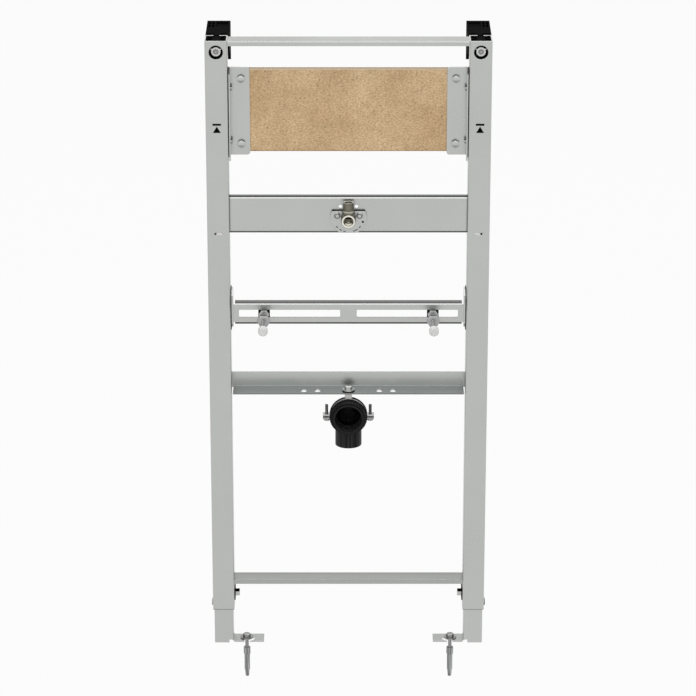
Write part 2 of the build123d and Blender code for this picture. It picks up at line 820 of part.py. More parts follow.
# Inlet plate: a dished disc, cut off level with the rail, with a recess for the elbow and curved slots
plate_front_y = inlet_rail_face_y - inlet_plate_depth
elbow_back_y = plate_front_y + inlet_recess
with BuildPart() as inlet_plate:
    for hollow in (False, True):
        with BuildSketch(front_plane(inlet_rail_face_y)):
            with Locations((0, inlet_z)):
                Circle(inlet_plate_r)
                with Locations((0, inlet_plate_rise)):
                    Rectangle(
                        2 * inlet_plate_r,
                        inlet_plate_rise + inlet_plate_fall,
                        align=(Align.CENTER, Align.MAX),
                        mode=Mode.INTERSECT,
                    )
            if hollow:
                offset(amount=-inlet_plate_wall)
        if hollow:
            extrude(amount=inlet_plate_depth - inlet_plate_wall, mode=Mode.SUBTRACT)
        else:
            extrude(amount=inlet_plate_depth)
    with BuildSketch(front_plane(inlet_rail_face_y)):
        with Locations((0, inlet_z)):
            for middle in inlet_slot_middles:
                start = middle - inlet_slot_span / 2
                path = CenterArc((0, 0), inlet_slot_r, start, inlet_slot_span, mode=Mode.PRIVATE)
                SlotArc(path, inlet_slot_width)
            with PolarLocations(inlet_slot_r, 1, start_angle=inlet_pilot_angle):
                Circle(inlet_pilot_r)
        for side in (-1, 1):
            with Locations((side * inlet_screw_x, inlet_screw_z)):
                Circle(inlet_shank_r + screw_gap)
    extrude(amount=inlet_plate_depth, mode=Mode.SUBTRACT)
    with BuildSketch(front_plane(plate_front_y)):
        with Locations((0, inlet_z)):
            Circle(elbow_body_r + seat_gap)
            Rectangle(2 * (elbow_collar_r + seat_gap), inlet_plate_r, align=(Align.CENTER, Align.MIN))
    extrude(amount=-inlet_recess, mode=Mode.SUBTRACT)
save(inlet_plate.part, "inlet_plate")

with BuildPart() as inlet_screws:
    with BuildSketch(front_plane(plate_front_y)):
        for side in (-1, 1):
            with Locations((side * inlet_screw_x, inlet_screw_z)):
                Circle(inlet_head_r)
    extrude(amount=inlet_head_height, taper=inlet_head_slope)
    with BuildSketch(front_plane(plate_front_y)):
        for side in (-1, 1):
            with Locations((side * inlet_screw_x, inlet_screw_z)):
                Circle(inlet_shank_r)
    extrude(amount=-inlet_shank_length)
    for side in (-1, 1):
        head_top = Plane(
            (side * inlet_screw_x, plate_front_y - inlet_head_height, inlet_screw_z),
            x_dir=(1, 0, 0),
            z_dir=(0, -1, 0),
        )
        cross_recess(head_top, 0.9 * inlet_head_r, cross_depth)
save(inlet_screws.part, "inlet_screws")

# Inlet elbow: a threaded mouth to the front and a pipe socket to the top
with BuildPart() as inlet_elbow:
    with BuildSketch(front_plane(elbow_back_y)):
        with Locations((0, inlet_z)):
            Circle(elbow_body_r)
    extrude(amount=elbow_back_y - elbow_body_front_y)
    with BuildSketch(front_plane(elbow_mouth_y)):
        with Locations((0, inlet_z)):
            Circle(elbow_rim_r)
    extrude(amount=-elbow_rim_length)
    with BuildSketch(Plane.XY.offset(inlet_z)):
        with Locations((0, elbow_stem_y)):
            Circle(elbow_stem_r)
    extrude(amount=elbow_stem_top - inlet_z)
    with BuildSketch(Plane.XY.offset(inlet_z)):
        with Locations((0, elbow_stem_y)):
            Circle(elbow_collar_r)
    extrude(amount=elbow_collar_top - inlet_z, taper=elbow_collar_slope)
    with BuildSketch(front_plane(elbow_mouth_y)):
        with Locations((0, inlet_z)):
            Circle(elbow_mouth_bore_r)
    extrude(amount=elbow_mouth_y - elbow_stem_y + elbow_bore_r, mode=Mode.SUBTRACT)
    with BuildSketch(front_plane(elbow_mouth_y)):
        with Locations((0, inlet_z)):
            Circle(elbow_bore_r)
    extrude(amount=elbow_mouth_y - elbow_stem_y, mode=Mode.SUBTRACT)
    with BuildSketch(Plane.XY.offset(elbow_stem_top)):
        with Locations((0, elbow_stem_y)):
            Circle(elbow_bore_r)
    extrude(amount=inlet_z - elbow_stem_top, mode=Mode.SUBTRACT)
    with BuildSketch(Plane.XY.offset(elbow_stem_top)):
        with Locations((0, elbow_stem_y)):
            Circle(elbow_socket_r)
    extrude(amount=-elbow_socket_depth, mode=Mode.SUBTRACT)
save(inlet_elbow.part, "inlet_elbow")


# Fixing rail: a slotted channel, with its face drawn out as a tab at each end
clamp_face = pad_face - clamp_plate_wall
fixing_slot_length = fixing_slot_outer - fixing_slot_inner
fixing_slot_x = (fixing_slot_outer + fixing_slot_inner) / 2
with BuildPart() as fixing_rail:
    with BuildSketch(Plane.YZ):
        with Locations((fixing_face_y, fixing_z)):
            Rectangle(fixing_flange, fixing_height, align=(Align.MIN, Align.CENTER))
        with Locations((fixing_face_y + fixing_wall, fixing_z)):
            Rectangle(
                fixing_flange,
                fixing_height - 2 * fixing_wall,
                align=(Align.MIN, Align.CENTER),
                mode=Mode.SUBTRACT,
            )
    extrude(amount=fixing_body_end, both=True)
    fillet(fixing_rail.edges().filter_by(Axis.X).group_by(Axis.Y)[0], fixing_bend)
    with BuildSketch(front_plane(fixing_face_y)):
        with Locations((0, fixing_z)):
            Rectangle(2 * clamp_face, fixing_tab_height)
    extrude(amount=-fixing_wall)
    with BuildSketch(front_plane(fixing_face_y)):
        with Locations((0, fixing_z)):
            with GridLocations(2 * fixing_slot_x, 0, 2, 1):
                RectangleRounded(fixing_slot_length, fixing_slot_height, fixing_slot_corner)
    extrude(amount=-fixing_wall, mode=Mode.SUBTRACT)
save(fixing_rail.part, "fixing_rail")

clamp_front_y = fixing_face_y
with BuildPart() as fixing_clamps:
    with BuildSketch(Plane.YZ.offset(clamp_face)):
        with BuildLine():
            Polyline(
                (clamp_front_y, clamp_plate_low + clamp_plate_slope),
                (clamp_front_y, clamp_plate_top - clamp_plate_slope),
                (clamp_front_y + clamp_plate_slope, clamp_plate_top),
                (clamp_front_y + clamp_plate_depth, clamp_plate_top),
                (clamp_front_y + clamp_plate_depth, clamp_plate_low),
                (clamp_front_y + clamp_plate_slope, clamp_plate_low),
                close=True,
            )
        make_face()
        with Locations((fixing_screw_y, fixing_z)):
            Circle(pan_shank_r + screw_gap, mode=Mode.SUBTRACT)
    extrude(amount=clamp_plate_wall)
    mirror(about=Plane.YZ)
save(fixing_clamps.part, "fixing_clamps")

with BuildPart() as fixing_pads:
    for side in (-1, 1):
        with BuildSketch(Plane.YZ.offset(side * pad_face)):
            with Locations((clamp_front_y, (clamp_plate_low + clamp_plate_top) / 2)):
                Rectangle(
                    clamp_plate_depth,
                    clamp_plate_top - clamp_plate_low + 2 * fixing_pad_rise,
                    align=(Align.MIN, Align.CENTER),
                )
            with Locations((fixing_screw_y, fixing_z)):
                Circle(pan_shank_r + screw_gap, mode=Mode.SUBTRACT)
        extrude(amount=side * pad_thick)
save(fixing_pads.part, "fixing_pads")

clamp_shank = clamp_plate_wall + pad_thick + post_wall + pan_shank_inside
save(side_screws(clamp_face, clamp_shank, [(fixing_screw_y, fixing_z)]), "fixing_screws")

# Studs for the bowl, with slide plates, nuts and end caps
slide_face_y = fixing_face_y + fixing_wall
slide_back_y = slide_face_y + slide_plate_thick
with BuildPart() as slide_plates:
    with BuildSketch(front_plane(slide_face_y)):
        with Locations((stud_x, fixing_z)):
            Rectangle(slide_plate_width, slide_plate_height)
    extrude(amount=-slide_plate_thick)
    with BuildSketch(front_plane(slide_face_y)):
        with Locations((stud_x, fixing_z)):
            Rectangle(bush_width, fixing_slot_height - 2 * seat_gap)
    extrude(amount=fixing_wall - seat_gap)
    with BuildSketch(front_plane(fixing_face_y)):
        with Locations((stud_x, fixing_z)):
            Circle(stud_r + seat_gap)
    extrude(amount=fixing_face_y - slide_back_y, mode=Mode.SUBTRACT)
    mirror(about=Plane.YZ)
save(slide_plates.part, "slide_plates")

with BuildPart() as studs:
    with BuildSketch(front_plane(stud_front_y)):
        with Locations((stud_x, fixing_z)):
            Circle(stud_r)
    extrude(amount=stud_front_y - stud_rear_y)
    chamfer(studs.faces().filter_by(Axis.Y).edges(), edge_round)
    mirror(about=Plane.YZ)
save(studs.part, "studs")

with BuildPart() as stud_nuts:
    nut_places = (
        (fixing_face_y - stud_nut_height, stud_nut_across, stud_nut_height),
        (slide_back_y, stud_nut_across, stud_nut_height),
        (collar_nut_front_y, collar_nut_across, collar_nut_height),
    )
    for nut_y, across, height in nut_places:
        with BuildSketch(front_plane(nut_y)):
            for side in (-1, 1):
                with Locations((side * stud_x, fixing_z)):
                    RegularPolygon(across / 2, 6, major_radius=False)
                    Circle(stud_r + seat_gap, mode=Mode.SUBTRACT)
        extrude(amount=-height)
save(stud_nuts.part, "stud_nuts")

with BuildPart() as stud_caps:
    with BuildSketch(front_plane(stud_cap_front_y)):
        with Locations((stud_x, fixing_z)):
            Circle(stud_cap_r)
    extrude(amount=-stud_cap_length)
    fillet(stud_caps.faces().sort_by(Axis.Y)[0].edges(), stud_cap_round)
    with BuildSketch(front_plane(stud_front_y - seat_gap)):
        with Locations((stud_x, fixing_z)):
            Circle(stud_r + seat_gap)
    extrude(amount=-stud_cap_length, mode=Mode.SUBTRACT)
    mirror(about=Plane.YZ)
save(stud_caps.part, "stud_caps")


# Waste rail: an angle whose upright reaches the posts and whose shelf stops short of them
shelf_y = waste_rail_back_y - waste_rail_depth / 2
with BuildPart() as waste_rail:
    with BuildSketch(front_plane(waste_rail_back_y)):
        with Locations((0, waste_rail_top - waste_rail_wall)):
            Rectangle(
                2 * inner_face,
                waste_rail_flange + waste_rail_wall,
                align=(Align.CENTER, Align.MIN),
            )
    extrude(amount=waste_rail_wall)
    with BuildSketch(Plane.XY.offset(waste_rail_top)):
        with Locations((0, shelf_y)):
            Rectangle(2 * (inner_face - waste_rail_end_gap), waste_rail_depth)
        with Locations((0, hanger_y)):
            Circle(hanger_r + screw_gap, mode=Mode.SUBTRACT)
            for hole_x in waste_hole_x:
                with GridLocations(2 * hole_x, 0, 2, 1):
                    SlotOverall(waste_hole_length, waste_hole_width, rotation=90, mode=Mode.SUBTRACT)
    extrude(amount=-waste_rail_wall)
save(waste_rail.part, "waste_rail")

# Waste bend: a socket to the front, a quarter bend and a spigot down
lip_back_y = waste_mouth_y + waste_lip_length
barrel_end_y = groove_back_y + waste_barrel_length
taper_end_y = barrel_end_y + waste_taper_length
chamber_end_y = waste_mouth_y + seal_chamber_depth
socket_end_y = chamber_end_y + waste_socket_depth
spigot_y = taper_end_y + waste_bend_radius
spigot_end = waste_z - waste_spigot_drop
bend_low = waste_z - waste_bend_radius
bore_r = waste_pipe_r - waste_pipe_wall
with BuildPart() as waste_bend:
    with BuildSketch(Plane.YZ):
        with BuildLine():
            Polyline(
                (waste_mouth_y, waste_z),
                (waste_mouth_y, waste_z + waste_lip_r),
                (lip_back_y, waste_z + waste_lip_r),
                (lip_back_y + waste_groove_slope, waste_z + waste_groove_r),
                (groove_back_y - waste_groove_slope, waste_z + waste_groove_r),
                (groove_back_y, waste_z + waste_barrel_r),
                (barrel_end_y, waste_z + waste_barrel_r),
                (taper_end_y, waste_z + waste_pipe_r),
                (taper_end_y, waste_z),
                close=True,
            )
        make_face()
    revolve(axis=Axis((0, 0, waste_z), (0, 1, 0)))
    with BuildSketch(Plane.XY.offset(spigot_end)):
        with Locations((0, spigot_y)):
            Circle(waste_pipe_r)
    extrude(amount=bend_low - spigot_end)
    with BuildSketch(front_plane(taper_end_y)):
        with Locations((0, waste_z)):
            Circle(waste_pipe_r)
    revolve(axis=Axis((0, taper_end_y, bend_low), (1, 0, 0)), revolution_arc=-90)
    with BuildSketch(Plane.XY.offset(spigot_end)):
        with Locations((0, spigot_y)):
            Circle(bore_r)
    extrude(amount=bend_low - spigot_end, mode=Mode.SUBTRACT)
    with BuildSketch(front_plane(taper_end_y)):
        with Locations((0, waste_z)):
            Circle(bore_r)
    revolve(
        axis=Axis((0, taper_end_y, bend_low), (1, 0, 0)),
        revolution_arc=-90,
        mode=Mode.SUBTRACT,
    )
    with BuildSketch(Plane.YZ):
        with BuildLine():
            Polyline(
                (waste_mouth_y, waste_z),
                (waste_mouth_y, waste_z + seal_chamber_r),
                (chamber_end_y, waste_z + seal_chamber_r),
                (chamber_end_y, waste_z + waste_socket_r),
                (socket_end_y, waste_z + waste_socket_r),
                (socket_end_y, waste_z + bore_r),
                (taper_end_y, waste_z + bore_r),
                (taper_end_y, waste_z),
                close=True,
            )
        make_face()
    revolve(axis=Axis((0, 0, waste_z), (0, 1, 0)), mode=Mode.SUBTRACT)
save(waste_bend.part, "waste_bend")

# Pipe clamp: two half bands with lugs round a rubber lining, hung from the waste rail
lining_inner_r = waste_barrel_r + seat_gap
band_inner_r = lining_inner_r + lining_wall
band_outer_r = band_inner_r + band_wall
lug_x = band_outer_r + lug_margin
lug_end = lug_x + lug_margin
boss_top = waste_z + band_outer_r + boss_height
boss_root = waste_z + (band_inner_r + band_outer_r) / 2


def half_band(up):
    """One half of the band with its lugs; up is 1 for the upper half and -1 for the lower one."""
    with BuildPart() as half:
        with BuildSketch(front_plane(hanger_y)):
            with Locations((0, waste_z)):
                Circle(band_outer_r)
                Rectangle(2 * lug_end, band_split + 2 * lug_wall)
                Circle(band_inner_r, mode=Mode.SUBTRACT)
            with Locations((0, waste_z + up * band_split / 2)):
                Rectangle(
                    3 * band_outer_r,
                    3 * band_outer_r,
                    align=(Align.CENTER, Align.MIN if up > 0 else Align.MAX),
                    mode=Mode.INTERSECT,
                )
        extrude(amount=band_width / 2, both=True)
        with BuildSketch(Plane.XY.offset(waste_z)):
            for side in (-1, 1):
                with Locations((side * lug_x, hanger_y)):
                    Circle(clamp_screw_r + screw_gap)
        extrude(amount=band_outer_r, both=True, mode=Mode.SUBTRACT)
        if up > 0:
            with BuildSketch(Plane.XY.offset(boss_top)):
                with Locations((0, hanger_y)):
                    RegularPolygon(band_width / 2, 6, major_radius=False)
            extrude(amount=boss_root - boss_top)
            with BuildSketch(Plane.XY.offset(boss_top)):
                with Locations((0, hanger_y)):
                    Circle(hanger_r + seat_gap)
            extrude(amount=-boss_height, mode=Mode.SUBTRACT)
    return half.part


save(half_band(1), "clamp_upper")
save(half_band(-1), "clamp_lower")

with BuildPart() as clamp_lining:
    with BuildSketch(front_plane(hanger_y)):
        with Locations((0, waste_z)):
            Circle(band_inner_r - seat_gap)
            Circle(lining_inner_r, mode=Mode.SUBTRACT)
    extrude(amount=band_width / 2 + lining_lip, both=True)
    for front in (-1, 1):
        with BuildSketch(front_plane(hanger_y + front * (band_width / 2 + lining_lip))):
            with Locations((0, waste_z)):
                Circle(band_outer_r + lining_proud)
                Circle(lining_inner_r, mode=Mode.SUBTRACT)
        extrude(amount=front * (lining_lip - seat_gap))
save(clamp_lining.part, "clamp_lining")

with BuildPart() as clamp_screws:
    lug_low = waste_z - band_split / 2 - lug_wall
    for side in (-1, 1):
        with BuildSketch(Plane.XY.offset(lug_low)):
            with Locations((side * lug_x, hanger_y)):
                RegularPolygon(clamp_screw_head_across / 2, 6, major_radius=False)
        extrude(amount=-clamp_screw_head_height)
        with BuildSketch(Plane.XY.offset(lug_low)):
            with Locations((side * lug_x, hanger_y)):
                Circle(clamp_screw_r)
        extrude(amount=clamp_screw_rise + band_split + 2 * lug_wall)
save(clamp_screws.part, "clamp_screws")

# Hanger bolt through a soft seat and the shelf of the waste rail into the clamp's boss
washer_low = waste_rail_top + hanger_seat_height
head_low = washer_low + hanger_washer_height
with BuildPart() as hanger_bolt:
    with BuildSketch(Plane.XY.offset(head_low)):
        with Locations((0, hanger_y)):
            RegularPolygon(hanger_head_across / 2, 6, major_radius=False)
    extrude(amount=hanger_head_height)
    fillet(hanger_bolt.edges().group_by(Axis.Z)[-1], edge_round)
    with BuildSketch(Plane.XY.offset(washer_low)):
        with Locations((0, hanger_y)):
            Circle(hanger_washer_r)
    extrude(amount=hanger_washer_height)
    with BuildSketch(Plane.XY.offset(boss_top - boss_height)):
        with Locations((0, hanger_y)):
            Circle(hanger_r)
    extrude(amount=head_low - boss_top + boss_height)
save(hanger_bolt.part, "hanger_bolt")

with BuildPart() as hanger_seat:
    with BuildSketch(Plane.XY.offset(waste_rail_top)):
        with Locations((0, hanger_y)):
            Circle(hanger_washer_r)
            Circle(hanger_r + screw_gap, mode=Mode.SUBTRACT)
    extrude(amount=hanger_seat_height)
save(hanger_seat.part, "hanger_seat")

# Waste seal: a rubber sleeve in the mouth of the socket with a flange over the lip
with BuildPart() as waste_seal:
    with BuildSketch(front_plane(waste_mouth_y)):
        with Locations((0, waste_z)):
            Circle(seal_flange_r)
            Circle(seal_inner_r, mode=Mode.SUBTRACT)
    extrude(amount=seal_flange_height)
    with BuildSketch(front_plane(waste_mouth_y)):
        with Locations((0, waste_z)):
            Circle(seal_chamber_r - seat_gap)
            Circle(seal_inner_r, mode=Mode.SUBTRACT)
    extrude(amount=seat_gap - seal_chamber_depth)
save(waste_seal.part, "waste_seal")
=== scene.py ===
import json
import math

import bmesh
import bpy
from mathutils import Matrix, Vector


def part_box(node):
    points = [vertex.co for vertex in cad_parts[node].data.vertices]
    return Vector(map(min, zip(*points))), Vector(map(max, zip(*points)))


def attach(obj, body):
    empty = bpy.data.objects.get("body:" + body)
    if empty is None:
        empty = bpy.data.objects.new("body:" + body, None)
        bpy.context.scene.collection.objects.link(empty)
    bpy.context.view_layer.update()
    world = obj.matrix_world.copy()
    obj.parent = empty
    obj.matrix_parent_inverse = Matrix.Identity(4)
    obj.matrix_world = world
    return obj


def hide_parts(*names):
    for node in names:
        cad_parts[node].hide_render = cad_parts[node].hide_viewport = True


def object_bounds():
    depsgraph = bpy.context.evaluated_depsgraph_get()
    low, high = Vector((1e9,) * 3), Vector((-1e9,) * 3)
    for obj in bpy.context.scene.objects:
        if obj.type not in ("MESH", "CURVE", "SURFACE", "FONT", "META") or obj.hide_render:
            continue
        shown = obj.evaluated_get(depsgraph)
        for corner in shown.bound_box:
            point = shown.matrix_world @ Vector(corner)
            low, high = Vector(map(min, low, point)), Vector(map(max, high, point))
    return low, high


# Looks of the urinal installation frame: finishes, threaded fasteners, printed marks, light and camera.
# Everything is in metres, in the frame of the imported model, and MM turns a size in millimetres into metres.

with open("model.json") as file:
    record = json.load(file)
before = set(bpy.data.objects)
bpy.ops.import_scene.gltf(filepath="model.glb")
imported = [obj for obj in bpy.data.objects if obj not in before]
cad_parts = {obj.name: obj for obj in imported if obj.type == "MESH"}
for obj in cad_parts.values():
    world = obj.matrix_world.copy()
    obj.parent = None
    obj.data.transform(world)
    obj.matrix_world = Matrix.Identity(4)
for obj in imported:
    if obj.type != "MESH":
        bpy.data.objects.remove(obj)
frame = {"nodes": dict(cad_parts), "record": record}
cad_low, cad_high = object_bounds()

MM = 0.001
ROUND = 48

slot_of = {row["node"]: row["material_slot"] for row in frame["record"]["subparts"]}

# Camera fitted to the photograph
camera_place = Vector((-0.0008, -5.853, 2.8243))
camera_pitch = math.radians(20.8)
camera_lens = 173.07

# Printed height mark on each post: a bar and a triangle under it
mark_bar_z = 1043.0 * MM
mark_bar_width = 15.5 * MM
mark_bar_height = 3.8 * MM
mark_triangle_low = 1027.4 * MM
mark_triangle_high = 1039.6 * MM
mark_triangle_base = 14.4 * MM
mark_ink = 0.08 * MM

# Dot at the outer end of each index clip
dot_r = 2.0 * MM
dot_inset = 2.6 * MM
dot_height = 0.15 * MM

# Finish of the steel: how metallic the coat is, the share of its tone that level faces and undersides keep
# as painted shade, and the slope at which a bend begins to take the painted shade of the level face
coat_metallic = 0.9
bend_steep = 0.74
bend_fade = 0.1
coat_shade_share = {
    "inlet_rail": (0.11, 0.2, bend_steep),
    "fixing_rail": (0.15, 0.03, bend_steep),
    "waste_rail": ((0.42, 0.44, 0.455), 0.4, bend_steep),
    "top_rail": (0.67, 0.8, 0.53),
    "bottom_rail": (0.53, 0.8, 0.57),
    "inlet_plate": (0.015, 0.5, bend_steep),
    "left_foot": (0.66, 0.8, bend_steep),
    "right_foot": (0.66, 0.8, bend_steep),
}
# Painted shade kept by the level faces and undersides of the bolt heads, and of plain zinc
bolt_shade_share = (0.02, 0.6, 0.62)
zinc_shade_share = (0.12, 0.45)

# Painted shade on places of the steel, and the share of its tone that each keeps
rail_end = 1.4 * MM
rail_end_shade = 0.6
rail_lip_shade_share = 0.8
shelf_edge_shade_share = 0.4
post_foot_shade_share = 0.3
hollow_shade_share = 0.04

# Inlet plate: painted shade on the face of the rail behind it, on its rim, round its pilot hole and in the
# dark dashes round its lower edge; turns are in degrees about the elbow's mouth
plate_hollow_r = 30.0 * MM
plate_hollow_top = 12.0 * MM
plate_side_shade = 0.75
pilot_reach = 27.8 * MM
pilot_turn = -17.0
pilot_r = 1.9 * MM
dash_turns = (221.0, 239.0, 255.0, 293.0, 303.0, 319.0)
dash_reach = 27.8 * MM
dash_half = 2.4
dash_r = 0.9 * MM

# Waste bend: painted shade at the edge of its lip, and in its bore
lip_edge_r = 28.3 * MM
pipe_bore_r = 24.0 * MM
pipe_shade_share = 0.2

# Fasteners
hex_crown = 0.495
washer_front = 1.6 * MM
recess_r = 1.2 * MM
recess_pale = 0.45
screw_ring_shade = 0.22
screw_ring_r = 4.6 * MM
screw_middle_r = 2.9 * MM
hex_slope = math.tan(math.radians(30))
thread_depth = 0.54
stud_pitch = 1.5 * MM
bolt_pitch = 1.25 * MM
small_pitch = 1.0 * MM
floor_pitch = 3.0 * MM
pipe_pitch = 1.8 * MM
thread_round = 28
bolt_r = 4.0 * MM
board_head_height = 5.3 * MM
board_nut_height = 6.0 * MM
bolt_across = 13.0 * MM
hanger_washer_height = 1.8 * MM
clamp_head_across = 10.0 * MM
clamp_head_height = 4.0 * MM
clamp_screw_r = 3.0 * MM
floor_screw_r = 3.75 * MM
floor_thread_depth = 0.22
floor_head_height = 6.0 * MM
floor_washer_height = 2.0 * MM
lock_head_height = 8.0 * MM
lock_spin = 30.0

# Inlet elbow: its threads, the painted shade in its mouth, and the painted highlights of its ring and its
# collar
stem_r = 9.7 * MM
stem_thread_low = 13.0 * MM
stem_thread_high = 1.5 * MM
stem_thread_proud = 0.4 * MM
stem_thread_depth = 0.3
mouth_r = 9.3 * MM
mouth_thread_length = 8.0 * MM
mouth_thread_depth = 0.12
mouth_shade_high = 5.2 * MM
mouth_shade_low = 7.2 * MM
mouth_shade_share = 0.13
mouth_ring_r = 12.2 * MM
socket_r = 7.6 * MM
collar_low = 15.2 * MM
collar_high = 17.0 * MM
collar_highlight = 0.5

# Weld beads at the ends of the welded rails
weld_r = 1.6 * MM
weld_step = 1.3 * MM
weld_wave = 0.16
weld_round = 10
weld_taper = 6.0
weld_inset = 0.2
weld_reach = 0.7
rail_wall = 2.5 * MM

# Board: the darker line along its lower edge, and how strongly its slivers show
board_line = 1.5 * MM
sliver_rise = 0.06
sliver_strength = {"pale": 0.45, "dark": 0.8}

# Slivers in the board: turn in degrees, scale, tone and the noise value at which they begin
sliver_sets = [
    (24.0, 520.0, "pale", 0.68),
    (-32.0, 560.0, "pale", 0.68),
    (8.0, 560.0, "dark", 0.675),
    (58.0, 480.0, "dark", 0.675),
    (-50.0, 500.0, "dark", 0.675),
]

# Studio; the floor lies low enough for the feet at the end of their travel
world_fill = 0.2
floor_white = 0.94
floor_reach = 14.0
floor_drop = 135.0 * MM
lamp_aim = Vector((0.0, 0.0, 0.6))
lamps = {
    "key": dict(place=Vector((0.0, -4.6, 4.4)), size=(9.0, 4.4), watts=185.0),
    "back": dict(place=Vector((0.0, 4.6, 4.8)), size=(6.0, 2.6), watts=80.0),
    "overhead": dict(place=Vector((0.0, -0.6, 4.4)), size=(4.0, 2.4), watts=40.0),
}


def solids(node):
    """The boxes (low, high) of a node's separate solids, sorted by their low corners."""
    shape = bmesh.new()
    shape.from_mesh(frame["nodes"][node].data)
    bmesh.ops.remove_doubles(shape, verts=shape.verts, dist=1e-6)
    unseen = set(shape.verts)
    found = []
    while unseen:
        waiting = [unseen.pop()]
        group = list(waiting)
        while waiting:
            vertex = waiting.pop()
            for edge in vertex.link_edges:
                other = edge.other_vert(vertex)
                if other in unseen:
                    unseen.remove(other)
                    waiting.append(other)
                    group.append(other)
        low = Vector([min(v.co[i] for v in group) for i in range(3)])
        high = Vector([max(v.co[i] for v in group) for i in range(3)])
        found.append((low, high))
    shape.free()
    return sorted(found, key=lambda box: tuple(box[0]))


def middle(box):
    """The middle of a box (low, high)."""
    return (box[0] + box[1]) / 2


class Finish:
    """A material under construction: a principled shader fed by procedural nodes in metres."""

    def __init__(self, name, colour, roughness, metallic=0.0, specular=0.5):
        self.material = bpy.data.materials.new(name)
        self.material.use_nodes = True
        self.tree = self.material.node_tree
        self.shader = self.tree.nodes["Principled BSDF"]
        self.shader.inputs["Base Color"].default_value = (*colour, 1)
        self.shader.inputs["Roughness"].default_value = roughness
        self.shader.inputs["Metallic"].default_value = metallic
        self.shader.inputs["Specular IOR Level"].default_value = specular
        self.place = self.tree.nodes.new("ShaderNodeTexCoord").outputs["Object"]
        self.normal = None

    def join(self, source, target):
        self.tree.links.new(source, target)

    def stretched(self, scale, turn=0.0):
        """The coordinate, turned about Y by an angle in degrees and then scaled along X, Y and Z."""
        mapping = self.tree.nodes.new("ShaderNodeMapping")
        mapping.vector_type = "TEXTURE"
        mapping.inputs["Scale"].default_value = [1 / value for value in scale]
        mapping.inputs["Rotation"].default_value = (0.0, math.radians(turn), 0.0)
        self.join(self.place, mapping.inputs["Vector"])
        return mapping.outputs["Vector"]

    def noise(self, scale, detail=2.0, place=None):
        """Noise whose features are about 1 / scale metres wide."""
        made = self.tree.nodes.new("ShaderNodeTexNoise")
        made.inputs["Scale"].default_value = scale
        made.inputs["Detail"].default_value = detail
        self.join(place or self.place, made.inputs["Vector"])
        return made.outputs["Fac"]

    def ramp(self, source, *stops):
        """Colours along a source's values; each stop is (value, grey or colour)."""
        made = self.tree.nodes.new("ShaderNodeValToRGB")
        points = made.color_ramp.elements
        while len(points) < len(stops):
            points.new(0.5)
        for point, (value, colour) in zip(points, stops):
            point.position = value
            point.color = (*colour, 1) if isinstance(colour, tuple) else (colour, colour, colour, 1)
        self.join(source, made.inputs["Fac"])
        return made.outputs["Color"]

    def mixed(self, first, second, how="MULTIPLY", share=1.0):
        """Two colours joined by a blend; share may be a number or a source."""
        made = self.tree.nodes.new("ShaderNodeMix")
        made.data_type = "RGBA"
        made.blend_type = how
        if isinstance(share, float):
            made.inputs[0].default_value = share
        else:
            self.join(share, made.inputs[0])
        self.join(first, made.inputs[6])
        self.join(second, made.inputs[7])
        return made.outputs[2]

    def slope(self):
        """Which way a face leans: 0 looks down, 0.5 is upright, 1 looks up."""
        normal = self.tree.nodes.new("ShaderNodeNewGeometry").outputs["Normal"]
        parts = self.tree.nodes.new("ShaderNodeSeparateXYZ")
        self.join(normal, parts.inputs["Vector"])
        made = self.tree.nodes.new("ShaderNodeMapRange")
        made.inputs["From Min"].default_value = -1.0
        made.inputs["From Max"].default_value = 1.0
        self.join(parts.outputs["Z"], made.inputs["Value"])
        return made.outputs["Result"]

    def near(self, point, axis, inner, outer):
        """1 within the inner distance of a point and 0 from the outer one, or the other way round if inner
        is the larger; axis is the direction that doesn't count."""
        shift = self.tree.nodes.new("ShaderNodeVectorMath")
        shift.operation = "SUBTRACT"
        self.join(self.place, shift.inputs[0])
        shift.inputs[1].default_value = point
        flat = self.tree.nodes.new("ShaderNodeVectorMath")
        flat.operation = "MULTIPLY"
        flat.inputs[1].default_value = [0.0 if name == axis else 1.0 for name in "XYZ"]
        self.join(shift.outputs["Vector"], flat.inputs[0])
        length = self.tree.nodes.new("ShaderNodeVectorMath")
        length.operation = "LENGTH"
        self.join(flat.outputs["Vector"], length.inputs[0])
        return self.between(length.outputs["Value"], outer, inner)

    def along(self, axis, zero, one):
        """0 at one place along an axis and 1 at another."""
        parts = self.tree.nodes.new("ShaderNodeSeparateXYZ")
        self.join(self.place, parts.inputs["Vector"])
        return self.between(parts.outputs[axis], zero, one)

    def between(self, source, zero, one):
        """0 at one value of a source and 1 at another."""
        made = self.tree.nodes.new("ShaderNodeMapRange")
        made.inputs["From Min"].default_value = zero
        made.inputs["From Max"].default_value = one
        self.join(source, made.inputs["Value"])
        return made.outputs["Result"]

    def both(self, first, second, how="MULTIPLY"):
        """Two masks joined: where both hold, or where either does if how is MAXIMUM."""
        made = self.tree.nodes.new("ShaderNodeMath")
        made.operation = how
        self.join(first, made.inputs[0])
        self.join(second, made.inputs[1])
        return made.outputs["Value"]

    def paint(self, source):
        """Lets a source give the base colour."""
        self.join(source, self.shader.inputs["Base Color"])

    def rough(self, source, low, high):
        """Roughness from low to high along a source's values."""
        made = self.tree.nodes.new("ShaderNodeMapRange")
        made.inputs["From Min"].default_value = 0.3
        made.inputs["From Max"].default_value = 0.7
        made.inputs["To Min"].default_value = low
        made.inputs["To Max"].default_value = high
        self.join(source, made.inputs["Value"])
        self.join(made.outputs["Result"], self.shader.inputs["Roughness"])

    def soft_edges(self, radius):
        """Edges that catch the light as if they were rounded."""
        made = self.tree.nodes.new("ShaderNodeBevel")
        made.samples = 6
        made.inputs["Radius"].default_value = radius
        self.normal = made.outputs["Normal"]
        self.join(self.normal, self.shader.inputs["Normal"])

